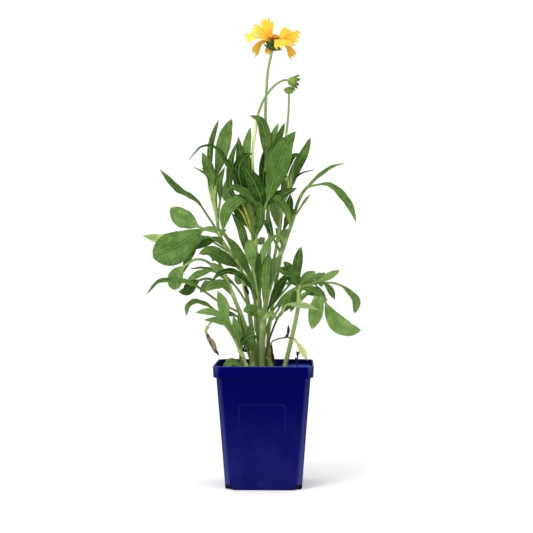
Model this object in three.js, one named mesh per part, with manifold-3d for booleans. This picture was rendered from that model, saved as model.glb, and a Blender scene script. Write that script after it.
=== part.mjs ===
// A coreopsis in its square nursery pot: one open bloom, two buds and eleven leafy shoots.
// Millimetres, +Z up. The origin is the centre of the pot's base, and the pot's panel faces -Y.
import * as THREE from 'three';
import { mergeVertices } from 'three/addons/utils/BufferGeometryUtils.js';
import Module from 'manifold-3d';

const wasm = await Module();
wasm.setup();

// ---------------------------------------------------------------------------------------------
// Driving dimensions

const POT = {
  height: 126,
  rimWidth: 102,
  rimFootWidth: 101,
  rimHeight: 12,
  rimWall: 1.4,
  bodyTopWidth: 95.5,
  baseWidth: 78,
  wall: 1.2,
  floor: 2,
  cornerRadius: 9,
  cornerSteps: 5,
};

const PANEL = { width: 46.5, height: 35.5, radius: 8, depth: 0.5, centreX: -1, centreZ: 69 };
const DRAIN = { width: 11, height: 5.5, reach: 14 };

const SOIL = { top: 107, bump: 1.6, clearance: 0.3, cells: 10, holeSides: 8 };

const STEM_SIDES = 6;
const STEM_FOOT = 88;            // stems stand this high above the base, 19 mm down in the soil
const HOLE_CLEARANCE = 0.35;

const BLADE_THICKNESS = 0.7;
const PETIOLE_THICKNESS = 1.5;
const PETIOLE_HALF_WIDTH = 1.1;
const WIDE_ROWS = [0.12, 0.34, 0.6, 0.84, 1];     // parts of the blade's length
const MIDDLING_ROWS = [0.16, 0.48, 0.8, 1];
const NARROW_ROWS = [0.2, 0.6, 1];
const WIDE = 12;                                  // a blade this wide takes WIDE_ROWS
const NARROW = 9.2;                               // a blade under this is flat and takes NARROW_ROWS
const FOLD = 0.28;                                // rise of a margin over its half width
const FUSE_TOLERANCE = 0.1;

// Blade outlines: half width over the blade's length b, 0 at its foot and 1 at its tip.
const lance = (b) => Math.sin(Math.PI * b ** 1.15) ** 0.9;
const spoon = (b) => Math.sin(Math.PI * b ** 1.35) ** 0.65;
const round = (b) => Math.sin(Math.PI * b ** 1.3) ** 0.5;
const paddle = (b) => Math.sin(Math.PI * b ** 1.55) ** 0.6;
const ovate = (b) => Math.sin(Math.PI * b ** 0.8) ** 0.8;
const oval = (b) => Math.sin(Math.PI * b ** 1.22) ** 0.72;

// Where a blade's upper side looks.
const FRONT = [0, -1, 0.2];
const UP = [0, -0.45, 1];
const BACK_UP = [0, 0.6, 1];
const LEFT = [-1, -0.35, 0.4];
const RIGHT = [1, -0.35, 0.4];

const TOP = Infinity;            // a leaf with this height grows from the end of its stem

// Every shoot has the path of its stem, the stem's radius at its foot and at its top, and its
// leaves. A leaf is [height of its node on the stem, part of its length that is petiole, width,
// outline, where its upper side looks, then the points of its midrib after the node].
const SHOOTS = {
  // Middle stem: it carries the nodding bud and most of the upper leaves.
  shoot_middle: {
    path: [[-3, 0, 121], [-3, 0, 160], [-5, 0, 183], [-8, 0, 212], [-9, -1, 243], [-10, -2, 269], [-12, -4, 325],
      [-12, -4, 347], [-9, -4, 368], [-7, -4, 382], [-2.6, -3, 395], [3.6, -2, 406], [11, -1, 414.5],
      [19, 0, 419.5], [25.5, 0, 420]],
    radii: [2.9, 1],
    colour: 0x5f8440,
    leaves: [
      [259, 0.3, 23, lance, FRONT, [3, -12, 293], [9, -16, 312], [16, -18, 335], [21.5, -17, 350],
        [32.5, -15, 365]],
      [306, 0.1, 9, oval, FRONT, [-18, -8, 328], [-18.5, -8, 347], [-14.5, -7, 370]],
      [284, 0.2, 10, lance, FRONT, [-22, -10, 318], [-25, -9, 344], [-27, -6, 361]],
      [276, 0.2, 8, lance, [-0.5, -1, 0.2], [-33, -11, 302], [-35, -13, 325], [-32.5, -13, 341], [-28, -12, 355]],
      [270, 0.25, 7, lance, UP, [-28, -16, 312], [-39.5, -18, 334], [-47, -18, 345.5], [-57, -18, 350],
        [-66, -17.5, 348], [-77.5, -16, 336]],
      [280, 0.15, 14, lance, [-0.3, -1, 0.2], [-23, -12, 308], [-26, -14, 326], [-21, -14, 338], [-12, -13, 343]],
      [280, 0.1, 11, lance, [0, -0.9, 0.6], [-5, -12, 289], [-14, -17, 298], [-26, -21, 305], [-33, -22, 307],
        [-39, -22, 302]],
      [278, 0.15, 14, lance, [-0.2, -1, 0.35], [-17, -15, 295], [-28, -22, 293], [-38, -26, 282], [-42, -28, 262]],
      [276, 0.1, 17, oval, [0.2, -1, 0.2], [-3, -11, 291], [-8, -15, 308], [-20, -15, 329]],
      [280, 0.1, 11, lance, [0, -1, 0.6], [7, -9, 295], [20, -11, 301], [34, -12, 307]],
      [282, 0.1, 9, lance, [0.3, -1, 0.3], [8, -11, 297], [18, -15, 291], [25, -18, 279], [28, -19, 266]],
      [254, 0.25, 14, lance, [-0.3, -1, 0.4], [-18, -10, 270], [-25, -16, 285], [-30, -18, 301]],
      [254, 0.1, 9, lance, FRONT, [-5, -6, 269], [-1, -9, 288]],
      [250, 0.1, 7, lance, FRONT, [-13, -8, 272], [-17, -12, 290], [-19, -13, 301]],
      [226, 0.1, 9, lance, [-0.2, -1, 0.3], [-17, -6, 240], [-21, -9, 255], [-25, -10, 268], [-34, -11, 282]],
      [176, 0.6, 12, spoon, FRONT, [-7, -8, 200], [-11, -12, 222], [-14, -15, 241], [-16, -16, 254]],
      [148, 0.6, 11, oval, [0, -1, 0.4], [-9, -5, 160], [-9.5, -10, 174], [-13, -14, 181.5], [-21.5, -16, 180.5]],
      [146, 0.6, 6, lance, FRONT, [-15, 1, 159], [-26, 2, 172], [-38, 1, 177], [-50, -3, 176]],
      [170, 0.6, 6, lance, UP, [-17, 0, 185], [-28, 4, 202], [-38, 8, 212], [-50, 14, 221]],
      [190, 0.15, 9, lance, [0, -0.8, 0.8], [-18, -9, 209], [-26, -16, 217.5], [-36, -20, 221], [-46, -23, 218],
        [-53.5, -25, 211]],
      [188, 0.2, 9, lance, FRONT, [-4, -3, 208], [-2, -3, 226], [-4, -4, 243]],
      [196, 0.15, 10, lance, [0, -0.8, 0.7], [-18, -6, 223], [-26, -10, 239], [-34, -12, 251], [-43, -13, 259]],
      [296, 0.15, 13, lance, [-0.3, -1, 0.2], [-17, 8, 320], [-20, 14, 350]],
      [180, 0.3, 10, lance, FRONT, [-5, -6, 197], [-4.5, -7, 218], [-6, -6, 241]],
      [258, 0.15, 9, lance, [0.2, -1, 0.2], [-4, -10, 275], [-4, -12, 294]],
    ],
  },

  // Bloom stalk: long and bare, with a few narrow leaves low down.
  shoot_bloom: {
    path: [[-1.5, 7, 121], [-0.8, 7, 159], [1.6, 6.5, 193], [5.2, 5, 253], [4, 4, 279], [2.6, 3, 354], [1, 3, 382],
      [2, 2.5, 410], [3.6, 1.5, 430], [7, 0.2, 446], [8, 0, 452]],
    radii: [2.3, 1.2],
    colour: 0x7d9a4c,
    leaves: [
      [322, 0.1, 12, lance, [0, -1, 0.4], [3, -3, 342], [1, -7, 362], [-4, -8, 377], [-15, -8, 382.5]],
      [286, 0.15, 11, lance, FRONT, [-1, -2, 312], [1, -1, 336], [8, 0, 361]],
      [306, 0.3, 8, oval, FRONT, [1, -2, 328], [8, -5, 357], [14.5, -5, 374.5]],
      [300, 0.3, 10, oval, [0.8, -0.8, 0.3], [4, -3, 322], [12, -4, 352], [21, -2, 375]],
      [246, 0.2, 10, lance, BACK_UP, [5, 18, 259], [0, 34, 273], [-6, 46, 279]],
    ],
  },

  // Stalk of the small bud, with narrow leaves on the right.
  shoot_small_bud: {
    path: [[-2, 14, 121], [-1, 14, 160], [4, 12.5, 201], [14, 10, 259], [19, 10, 316], [22.5, 11, 364],
      [23.5, 11, 373], [25, 12, 390], [25.4, 12, 408.5]],
    radii: [2.2, 1],
    colour: 0x6f9146,
    leaves: [
      [262, 0.3, 11, oval, [0.3, -1, 0.2], [18, 12, 285], [24, 14, 306], [32, 16, 328], [41.5, 17, 346],
        [48, 18, 362]],
      [290, 0.3, 9, oval, [0, -1, 0.6], [19, 6, 317], [24, 4, 333], [30, 3, 341], [38, 3, 343.5]],
      [290, 0.3, 4, lance, UP, [25, 12, 313], [33, 14, 320], [41, 15, 325], [52, 16, 328]],
      [286, 0.1, 4.5, lance, FRONT, [20, 4, 300], [21, 1, 321]],
      [286, 0.1, 4, lance, [0.4, -1, 0.2], [21.5, 5, 302], [26.5, 3, 323]],
      [288, 0.15, 7, lance, FRONT, [24, 6, 305], [31, 6, 322]],
      [176, 0.1, 10, lance, FRONT, [8, 8, 190], [16, 5, 206], [26, 3, 221]],
      [150, 0.5, 7, lance, FRONT, [8, 7, 178], [15, 2, 187], [24, -3, 196], [33, -5, 205]],
      [165, 0.2, 9, lance, FRONT, [0, 11.5, 195], [2, 11, 220], [4, 11, 244]],
      [250, 0.2, 11, lance, BACK_UP, [22, 28, 268], [27, 46, 284], [26, 60, 292]],
    ],
  },

  // Tall stem that leans out to the right.
  shoot_right_tall: {
    path: [[-2, -7, 121], [-2.5, -7, 160], [2, -7, 190], [8, -7, 212], [11, -7, 222], [14, -7, 233], [19, -7, 243],
      [22.3, -6.5, 253.5], [27.8, -5, 269], [31.5, -3, 281], [35, -1, 293], [41, 1, 304.5], [48.5, 3, 312]],
    radii: [2.9, 1.5],
    colour: 0x8aa258,
    leaves: [
      [299, 0.1, 7, lance, [0, -0.5, 1], [49, 4, 313], [63, 6, 325], [74, 8, 331.5], [83.5, 10, 334]],
      [309, 0.1, 9.5, lance, [0.2, -1, 0.7], [63, -2, 311.5], [71, -4, 308.5], [78, -6, 302], [84.5, -7, 294],
        [90, -8, 285], [95, -10, 272]],
      [276, 0.2, 5, lance, UP, [40, -8, 290], [47, -9, 300.5]],
      [268, 0.2, 8, lance, FRONT, [26, -7, 284], [27, -6, 301]],
      [252, 0.15, 8, lance, [-0.3, -1, 0.5], [15, -12, 257.5], [8, -15, 254.5], [2, -16, 246], [-1, -16, 236],
        [-2.5, -15, 228]],
      [240, 0.3, 6, lance, FRONT, [10, -11, 254], [5.5, -13, 268], [2.5, -14, 284]],
      [200, 0.2, 7, lance, FRONT, [6, -13, 216], [6.5, -15, 237]],
      [164, 0.3, 9, oval, FRONT, [1, -13, 195], [2, -15, 218], [4, -15, 240]],
    ],
  },

  // Short stem on the right with a tuft of broad leaves.
  shoot_right_low: {
    path: [[21, -14, 121], [26.5, -15, 144], [32, -16, 168], [35, -16, 183], [36, -16, 195], [35, -15, 209]],
    radii: [2.5, 1.9],
    colour: 0x84a561,
    leaves: [
      [198, 0.44, 18, oval, [-0.1, -0.9, 0.5], [40, -19, 204.5], [48, -23, 206], [55.5, -28, 200.5],
        [62.3, -33, 190.5], [67.5, -38, 178.5], [74.7, -44, 168.5], [84.7, -50, 162.7], [97.5, -55, 162.5]],
      [194, 0.35, 15, oval, FRONT, [47, -27, 201], [55, -36, 196], [53, -40, 180], [49, -42, 163]],
      [204, 0.55, 9, spoon, [0, -0.8, 0.8], [52, -6, 208], [68, -2, 209], [79.5, 0, 206], [89.2, 1, 198],
        [95.5, 0, 189], [93.5, -2, 177.5]],
      [206, 0.4, 8, spoon, [0, -1, 0.5], [48, -12, 208], [63, -14, 214], [77.5, -15, 222]],
      [207, 0.1, 9, lance, [0, -1, 0.5], [44, -6, 213], [57, -2, 218]],
      [205, 0.05, 10, oval, FRONT, [34, -19, 222], [35.5, -24, 234], [38, -28, 246]],
      [205, 0.05, 14, ovate, [-0.2, -1, 0.3], [30, -21, 216], [25, -25, 226], [20, -27, 231]],
      [202, 0.1, 13, lance, [0, -0.8, 0.6], [29, -26, 217], [21, -30, 221], [12, -32, 224]],
      [205, 0.1, 9, lance, [0, -1, 0.6], [44, -15, 216], [53, -16, 221]],
      [200, 0.1, 8, lance, [0, -1, 0.5], [42, -24, 203.5], [50, -33, 202], [59, -39, 196.5]],
      [205, 0.1, 9, lance, [0.2, -1, 0.1], [33, -11, 201], [30, -10, 191], [27.5, -9, 179]],
      [205, 0.55, 7, lance, [0, -1, 0.3], [48, -10, 210], [60, -9, 209], [67, -9, 203.5], [73, -9, 192]],
      [200, 0.25, 15, lance, BACK_UP, [46, 4, 212], [56, 24, 216], [60, 44, 204]],
      [190, 0.25, 13, lance, RIGHT, [46, 0, 198], [57, 14, 198], [66, 30, 190]],
    ],
  },

  // Leaning stem on the left, low.
  shoot_left_low: {
    path: [[-12, -8, 121], [-14.5, -9, 138], [-19, -10, 162], [-26, -11, 181], [-32, -12, 196], [-37.5, -12, 210],
      [-43, -12, 223], [-47, -12, 230]],
    radii: [2.8, 1.6],
    colour: 0x64893f,
    leaves: [
      [221, 0.64, 16, round, [0.1, -1, 0.2], [-54, -12, 227.5], [-60, -15, 231.5], [-68, -18, 233.5],
        [-76, -20, 230.5], [-84, -22, 224], [-90.5, -23, 215], [-91.5, -24, 202]],
      [216, 0.15, 8, lance, [0, -1, 0.4], [-49, -15, 224], [-56.5, -18, 229.5]],
      [124, 0.15, 6, lance, FRONT, [-19, -15, 145], [-24, -18, 165], [-26.5, -20, 182]],
      [122, 0.15, 7, lance, FRONT, [-14, -12, 145], [-15, -14, 168]],
      [178, 0.3, 9, lance, [0, -0.7, 1], [-44, -17, 188], [-60, -28, 200], [-78, -38, 210], [-104, -42, 211],
        [-118, -42, 198]],
      [205, 0.55, 12, lance, [0.3, -1, 0.3], [-53, -4, 212], [-63, -5, 213], [-73, -6, 208.5], [-81, -7, 200.5],
        [-89, -8, 200]],
      [211, 0.3, 8, lance, [0, -1, 0.5], [-53, -13, 221.5], [-63, -16, 219.5], [-72, -18, 215.5],
        [-80, -20, 210.5]],
      [218, 0.3, 5, lance, UP, [-56, -8, 224], [-77, -6, 224]],
      [198, 0.1, 11, lance, [0, -1, 0.5], [-41, -17, 207.5], [-51, -22, 206.5], [-61, -27, 201]],
      [196, 0.2, 14, lance, BACK_UP, [-46, 4, 206], [-58, 20, 208], [-70, 34, 198]],
    ],
  },

  // Leaning stem on the left, high: the large round leaf and the upper left tuft grow from it.
  shoot_left_tall: {
    path: [[-8, 6, 121], [-13.5, 7, 160], [-20, 9, 201], [-27.5, 10, 229], [-38, 11, 243], [-47.5, 11, 258],
      [-50.5, 11, 280], [-55, 12, 297], [-57.5, 12, 314]],
    radii: [2.9, 1.5],
    colour: 0x6a8e48,
    leaves: [
      [284, 0.35, 15, oval, FRONT, [-50.5, 6, 318], [-46.5, 5, 337], [-43, 4, 352.5], [-39.5, 4, 367],
        [-34.2, 3, 380]],
      [300, 0.3, 6, oval, [0.5, -1, 0.2], [-57, 10, 347], [-54.5, 10, 363], [-48.5, 10, 380]],
      [310, 0.2, 5, lance, FRONT, [-58, 8, 338], [-58, 8, 361]],
      [296, 0.25, 12, lance, [-0.4, -1, 0.2], [-55, 3, 320], [-65, 1, 345]],
      [296, 0.2, 6, lance, UP, [-60, 6, 320], [-74, 4, 330]],
      [302, 0.2, 5, lance, LEFT, [-60, 16, 320], [-67, 18, 331]],
      [282, 0.1, 5, lance, FRONT, [-53, 7, 300], [-51, 6, 322], [-50, 6, 336]],
      [288, 0.1, 5, lance, FRONT, [-57, 8, 308], [-58, 6, 328]],
      [275, 0.3, 7, lance, FRONT, [-46.5, 4, 297], [-47, 3, 315], [-41.5, 2, 330]],
      [260, 0.3, 10, lance, [0, -0.6, 1], [-61, 12, 280], [-71, 14, 294], [-80, 16, 300], [-94, 20, 308.5],
        [-112, 24, 329.5]],
      [262, 0.35, 21, spoon, [0, -1, 0.3], [-66, 20, 266], [-86, 34, 276.5], [-102.5, 46, 289.5]],
      [232, 0.5, 34, paddle, [0, -1, 0.1], [-41, -2, 259], [-54, -12, 266], [-66, -18, 262], [-87, -24, 248],
        [-113, -28, 235]],
      [254, 0.4, 12, lance, [0, -0.9, 0.6], [-80, 22, 258], [-108, 28, 255], [-131, 32, 259]],
      [248, 0.3, 11, lance, [-0.5, -1, 0.1], [-59, 2, 257], [-70, 0, 252], [-77, -3, 240], [-84.5, -6, 219]],
      [250, 0.15, 9, lance, [0, -1, 0.5], [-47, 8, 255.5], [-58, 5, 252.5], [-73, 1, 244]],
      [224, 0.05, 15, oval, [0, -1, 0.4], [-36, -4, 231], [-46, -16, 236.5], [-56, -24, 241.5], [-66, -28, 239]],
      [240, 0.2, 18, spoon, BACK_UP, [-56, 28, 252], [-72, 46, 256], [-84, 60, 246]],
      [252, 0.2, 14, lance, BACK_UP, [-49, 32, 264], [-50, 54, 264]],
    ],
  },

  // Young shoot at the lower left.
  shoot_left_young: {
    path: [[-17, -19, 121], [-25, -20, 141], [-32, -21, 159], [-38, -22, 176]],
    radii: [2.1, 1.5],
    colour: 0x7c9f4f,
    leaves: [
      [164, 0.12, 12, lance, FRONT, [-39, -25, 176], [-41.5, -29, 188], [-46.5, -32, 201]],
      [170, 0.25, 8.5, lance, [0, -0.7, 1], [-51, -26, 182], [-60.5, -29, 188], [-70.5, -33, 190], [-77, -35, 185],
        [-78, -37, 176]],
      [166, 0.15, 8, lance, [0, -1, 0.5], [-46, -28, 177], [-56, -33, 180], [-68.5, -40, 179.5]],
      [150, 0.2, 9, lance, [0, -0.8, 0.7], [-36, -26, 165], [-46, -31, 170.5], [-60.5, -34, 172]],
      [140, 0.2, 9, lance, [0.3, -0.8, 0.6], [-19, -26, 152], [-10, -29, 157]],
      [136, 0.1, 9, lance, FRONT, [-26, -25, 156], [-31, -29, 176]],
      [124, 0.2, 9, lance, [0, -1, 0.8], [-22, -27, 123], [-32, -32, 129], [-43, -34, 120]],
    ],
  },

  // Two stems at the back, with the broad leaves that fill the plant there.
  shoot_rear_left: {
    path: [[-6, 21, 121], [-8, 22, 160], [-12, 27, 205], [-14, 33, 240], [-13, 36, 268]],
    radii: [2.4, 1.5],
    colour: 0x5c803f,
    leaves: [
      [186, 0.25, 17, spoon, BACK_UP, [-18, 46, 208], [-26, 66, 214], [-32, 82, 206]],
      [208, 0.25, 18, spoon, BACK_UP, [-34, 46, 228], [-48, 66, 240], [-60, 80, 232]],
      [224, 0.25, 18, spoon, BACK_UP, [-16, 50, 246], [-10, 68, 254], [-6, 84, 250]],
      [252, 0.2, 16, lance, BACK_UP, [-16, 54, 282], [-20, 72, 294], [-24, 86, 292]],
      [262, 0.15, 14, lance, [0, 0.9, 0.3], [-13, 42, 296], [-14, 48, 330]],
      [266, 0.15, 11, lance, [-0.4, 0.8, 0.3], [-27, 42, 290], [-42, 45, 303], [-40, 50, 325]],
    ],
  },
  shoot_rear_right: {
    path: [[3, 21, 121], [4, 24, 160], [11, 29, 205], [17, 34, 240], [19, 36, 260]],
    radii: [2.3, 1.5],
    colour: 0x628744,
    leaves: [
      [166, 0.25, 15, lance, BACK_UP, [18, 44, 186], [28, 60, 192], [36, 74, 184]],
      [186, 0.25, 16, spoon, BACK_UP, [26, 44, 206], [36, 62, 210], [44, 78, 202]],
      [206, 0.25, 18, spoon, BACK_UP, [8, 52, 226], [4, 70, 234], [0, 87, 230]],
      [200, 0.25, 15, lance, [0.5, 0.4, 1], [30, 40, 212], [44, 48, 213], [57, 54, 203]],
      [236, 0.25, 16, lance, BACK_UP, [18, 56, 258], [16, 72, 266], [12, 86, 264]],
      [252, 0.15, 14, lance, [0, 0.9, 0.3], [12, 44, 284], [8, 50, 317]],
    ],
  },

  // Basal shoot with a bronze stem and a few small leaves.
  shoot_bronze: {
    path: [[2, -16, 121], [1.5, -17, 136], [7.5, -19, 157], [14, -21, 173], [18, -22, 178]],
    radii: [1.3, 1],
    colour: 0x7a7045,
    leaves: [
      [176, 0.1, 9, lance, FRONT, [23, -23, 186], [27, -24, 196]],
      [TOP, 0.15, 7, lance, [0, -1, 0.6], [24, -27, 187], [34, -35, 187], [45, -46, 186], [55.5, -50, 182.5]],
      [172, 0.15, 7, lance, [0, -1, 0.8], [8, -24, 178], [-1, -26, 172]],
      [130, 0.1, 4, lance, FRONT, [4, -24, 133], [8, -27, 125], [11, -28, 116]],
    ],
  },
};

// Leaves that died or are dying, each on its own petiole from the soil: the path of the petiole,
// its radii and colour, and the blade at its end.
const OLD_LEAVES = {
  withered_leaf: {
    path: [[-21, -11, 121], [-26, -12, 141], [-32, -14, 153], [-38.5, -17, 163.5], [-46, -22, 172],
      [-53, -26, 169.5], [-57, -28, 165]],
    radii: [1.1, 0.8],
    colour: 0x83765a,
    leaves: [[TOP, 0.02, 6, lance, [0.3, -1, 0.3], [-59, -29, 160], [-56.5, -31, 154], [-51.5, -32, 146],
      [-46, -33, 135]]],
  },
  yellow_leaf: {
    path: [[7.5, -22, 121], [7, -24, 146], [14, -27, 152], [25, -29, 153.8], [31, -31, 152.5]],
    radii: [0.9, 0.7],
    colour: 0xc3cc7c,
    leaves: [[TOP, 0.05, 7, lance, [0.5, -0.9, 0.4], [37.5, -33, 143], [44.5, -35, 131]]],
  },
};

// Dead stalks left standing: path and radii.
const DEAD_STALKS = {
  dead_stalk: { path: [[10, -11, 121], [9, -11, 130], [6.5, -11.5, 147]], radii: [1.8, 1.5] },
  dead_twig: { path: [[34, -19, 121], [34.5, -19, 134], [38, -19, 142]], radii: [0.9, 0.7] },
};

// The open bloom. Rays: where the tip lies from the heart, the rise of the ray's middle, its width
// and where its upper side looks at the tip.
const BLOOM = {
  heart: [9.8, 0, 459.6],
  axis: [0.2, 0.02, 0.98],
  hubRadius: 5.4,
  hubThickness: 1.2,
  rays: [
    [[-7.5, 12, 28.5], 2, 14, [0.1, -1, 0.6]],
    [[-25, 8, 15.5], 4, 15, [0.1, -1, 0.5]],
    [[-31.5, -3, 3.5], 3, 15, [0, -0.9, 0.8]],
    [[-23, 3, -13], 5, 16, [-0.5, 0.4, 0.8]],
    [[-8, 14, -11], 3, 7, [-0.2, 0.7, 0.6]],
    [[12, -22, -10], 5, 20, [0.1, -1, 0.5]],
    [[21.5, 4, -16], 5, 13, [0.5, 0.6, 0.7]],
    [[26.5, -3, 4], 4, 18, [0.1, -1, 0.3]],
    [[18, 9, 16], 3, 15, [0, -1, 0.6]],
  ],
  rayThickness: 0.65,
  discRadius: 6.4,
  discHeight: 4.2,
  floretRings: [[5.2, 13], [3.4, 8], [1.5, 4]],      // radius of the ring, florets in it
  floretRadius: 0.75,
};

const RAY_ROWS = [0, 0.25, 0.5, 0.76, 1];
const RAY_TEETH = [0.78, 0.97, 0.8, 1, 0.8, 0.95, 0.77];   // length of each column at the toothed end
const RAY_PLEAT = 0.9;

// Buds: heart, axis, radius, length, and how far the outer bracts reach from the heart.
const BUDS = {
  nodding: { heart: [29, 0.6, 418.6], axis: [0.92, 0.3, -0.12], radius: 4.9, length: 9.4, reach: 6.5, spread: 7 },
  small: { heart: [25.5, 12, 411], axis: [0, 0, 1], radius: 4.8, length: 7.4, reach: 2.4, spread: 5.8 },
};

const COLOURS = {
  pot: 0x16175c,
  soil: 0x3a2a1e,
  rays: 0xffd93b,
  disc: 0xc9791f,
  dead: 0x2a241d,
};

// ---------------------------------------------------------------------------------------------
// Closed solids from points

const point = ([x, y, z]) => new THREE.Vector3(x, y, z);

function solidFrom(points, triangles) {
  const vertProperties = new Float32Array(points.flatMap((p) => [p.x, p.y, p.z]));
  const mesh = new wasm.Mesh({ numProp: 3, vertProperties, triVerts: new Uint32Array(triangles) });
  mesh.merge();
  return new wasm.Manifold(mesh);
}

function solidOf(geometry) {
  const bare = geometry.clone();
  bare.deleteAttribute('normal');
  bare.deleteAttribute('uv');
  const merged = mergeVertices(bare, 1e-4);
  const points = [];
  for (let i = 0; i < merged.attributes.position.count; i += 1) {
    points.push(new THREE.Vector3().fromBufferAttribute(merged.attributes.position, i));
  }
  return solidFrom(points, Array.from(merged.index.array));
}

// Rings of points joined in order, closed by a fan over the first and the last.
function loft(rings) {
  const count = rings[0].length;
  const triangles = [];
  for (let r = 0; r + 1 < rings.length; r += 1) {
    for (let i = 0; i < count; i += 1) {
      const next = (i + 1) % count;
      const [a, b] = [r * count + i, r * count + next];
      triangles.push(a, b, b + count, a, b + count, a + count);
    }
  }
  const last = (rings.length - 1) * count;
  for (let i = 1; i + 1 < count; i += 1) {
    triangles.push(0, i + 1, i, last, last + i, last + i + 1);
  }
  return solidFrom(rings.flat(), triangles);
}

// A thin sheet: rows of points on its upper side and the matching rows on its lower side.
function sheet(upper, lower) {
  const rows = upper.length;
  const columns = upper[0].length;
  const under = rows * columns;
  const at = (row, column) => row * columns + column;
  const triangles = [];
  for (let row = 0; row + 1 < rows; row += 1) {
    for (let column = 0; column + 1 < columns; column += 1) {
      const [a, b] = [at(row, column), at(row, column + 1)];
      const [c, d] = [at(row + 1, column), at(row + 1, column + 1)];
      triangles.push(a, b, d, a, d, c);
      triangles.push(under + a, under + d, under + b, under + a, under + c, under + d);
    }
  }
  const edge = (a, b) => triangles.push(b, a, under + a, b, under + a, under + b);
  for (let column = 0; column + 1 < columns; column += 1) {
    edge(at(0, column), at(0, column + 1));
    edge(at(rows - 1, column + 1), at(rows - 1, column));
  }
  for (let row = 0; row + 1 < rows; row += 1) {
    edge(at(row + 1, 0), at(row, 0));
    edge(at(row, columns - 1), at(row + 1, columns - 1));
  }
  return solidFrom([...upper.flat(), ...lower.flat()], triangles);
}

const fuse = (solids) => wasm.Manifold.union(solids).simplify(FUSE_TOLERANCE);

// A smooth line through the points, as evenly spaced points.
function smoothLine(points, steps) {
  return new THREE.CatmullRomCurve3(points, false, 'catmullrom', 0.5).getSpacedPoints(steps);
}

// The point that lies the given part of the way along evenly spaced points, and the direction there.
function along(line, part) {
  const place = Math.min(Math.max(part, 0), 1) * (line.length - 1);
  const index = Math.min(Math.floor(place), line.length - 2);
  const spot = line[index].clone().lerp(line[index + 1], place - index);
  const before = line[Math.max(index - 1, 0)];
  const after = line[Math.min(index + 2, line.length - 1)];
  return { spot, direction: after.clone().sub(before).normalize() };
}

// The first point of a rising line that reaches the given height.
function atHeight(line, height) {
  const index = line.findIndex((p) => p.z >= height);
  if (index < 1) return line[line.length - 1].clone();
  const [low, high] = [line[index - 1], line[index]];
  return low.clone().lerp(high, (height - low.z) / (high.z - low.z));
}

// ---------------------------------------------------------------------------------------------
// Stems, leaves and rays

// A round bar along a line, from one radius to another.
function bar(line, radii, sides) {
  const rings = line.map((spot, index) => {
    const before = line[Math.max(index - 1, 0)];
    const after = line[Math.min(index + 1, line.length - 1)];
    const direction = after.clone().sub(before).normalize();
    const across = new THREE.Vector3(0, 1, 0).cross(direction).normalize();
    const outward = direction.clone().cross(across);
    const radius = THREE.MathUtils.lerp(radii[0], radii[1], index / (line.length - 1));
    return Array.from({ length: sides }, (_, side) => {
      const angle = (2 * Math.PI * side) / sides;
      return spot.clone().addScaledVector(across, radius * Math.cos(angle))
        .addScaledVector(outward, radius * Math.sin(angle));
    });
  });
  return loft(rings);
}

// A stem's line starts straight up through its hole in the soil.
function stemLine({ path }) {
  const [x, y] = path[0];
  const foot = [[x, y, STEM_FOOT], [x, y, SOIL.top + 4]];
  return smoothLine([...foot, ...path].map(point), Math.round(1.3 * path.length) + 4);
}

// A leaf on its petiole: three points across with the midrib lowest, or two on a narrow one.
function leaf(node, [, petiole, width, outline, face, ...midrib]) {
  const line = smoothLine([node, ...midrib.map(point)], 40);
  const looks = point(face).normalize();
  const bladeRows = width < NARROW ? NARROW_ROWS : (width < WIDE ? MIDDLING_ROWS : WIDE_ROWS);
  const petioleRows = petiole > 0.3 ? [0, petiole / 2, petiole] : [0, petiole];
  const parts = [...petioleRows, ...bladeRows.map((b) => petiole + (1 - petiole) * b)];
  const upper = [];
  const lower = [];
  for (const part of parts) {
    const { spot, direction } = along(line, part);
    const side = direction.clone().cross(looks).normalize();
    const normal = side.clone().cross(direction);
    const b = (part - petiole) / (1 - petiole);
    const onBlade = b > 0.01;
    const outlined = onBlade ? Math.max((width / 2) * outline(Math.min(b, 0.999)), 0.4) : 0;
    const half = Math.max(outlined, b > 0.9 ? 0.35 : PETIOLE_HALF_WIDTH);
    const thickness = onBlade ? BLADE_THICKNESS : PETIOLE_THICKNESS;
    const columns = (width < NARROW ? [-1, 1] : [-1, 0, 1]).map((across) => spot.clone()
      .addScaledVector(side, across * half)
      .addScaledVector(normal, onBlade ? Math.abs(across) * half * FOLD : 0));
    upper.push(columns.map((p) => p.clone().addScaledVector(normal, thickness / 2)));
    lower.push(columns.map((p) => p.clone().addScaledVector(normal, -thickness / 2)));
  }
  return sheet(upper, lower);
}

function shootSolid(shoot, extras = []) {
  const line = stemLine(shoot);
  const leaves = shoot.leaves.map((row) => leaf(atHeight(line, row[0]), row));
  return fuse([bar(line, shoot.radii, STEM_SIDES), ...leaves, ...extras]);
}

// A solid made about the origin with +Z as its axis, turned to an axis and moved to a heart.
function placed(solid, heart, axis) {
  const turn = new THREE.Quaternion().setFromUnitVectors(new THREE.Vector3(0, 0, 1), point(axis).normalize());
  const matrix = new THREE.Matrix4().compose(point(heart), turn, new THREE.Vector3(1, 1, 1));
  return solid.transform(matrix.elements);
}

const turned = (profile, segments) => solidOf(
  new THREE.LatheGeometry(profile.map(([r, z]) => new THREE.Vector2(r, z)), segments).rotateX(Math.PI / 2),
);

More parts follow.
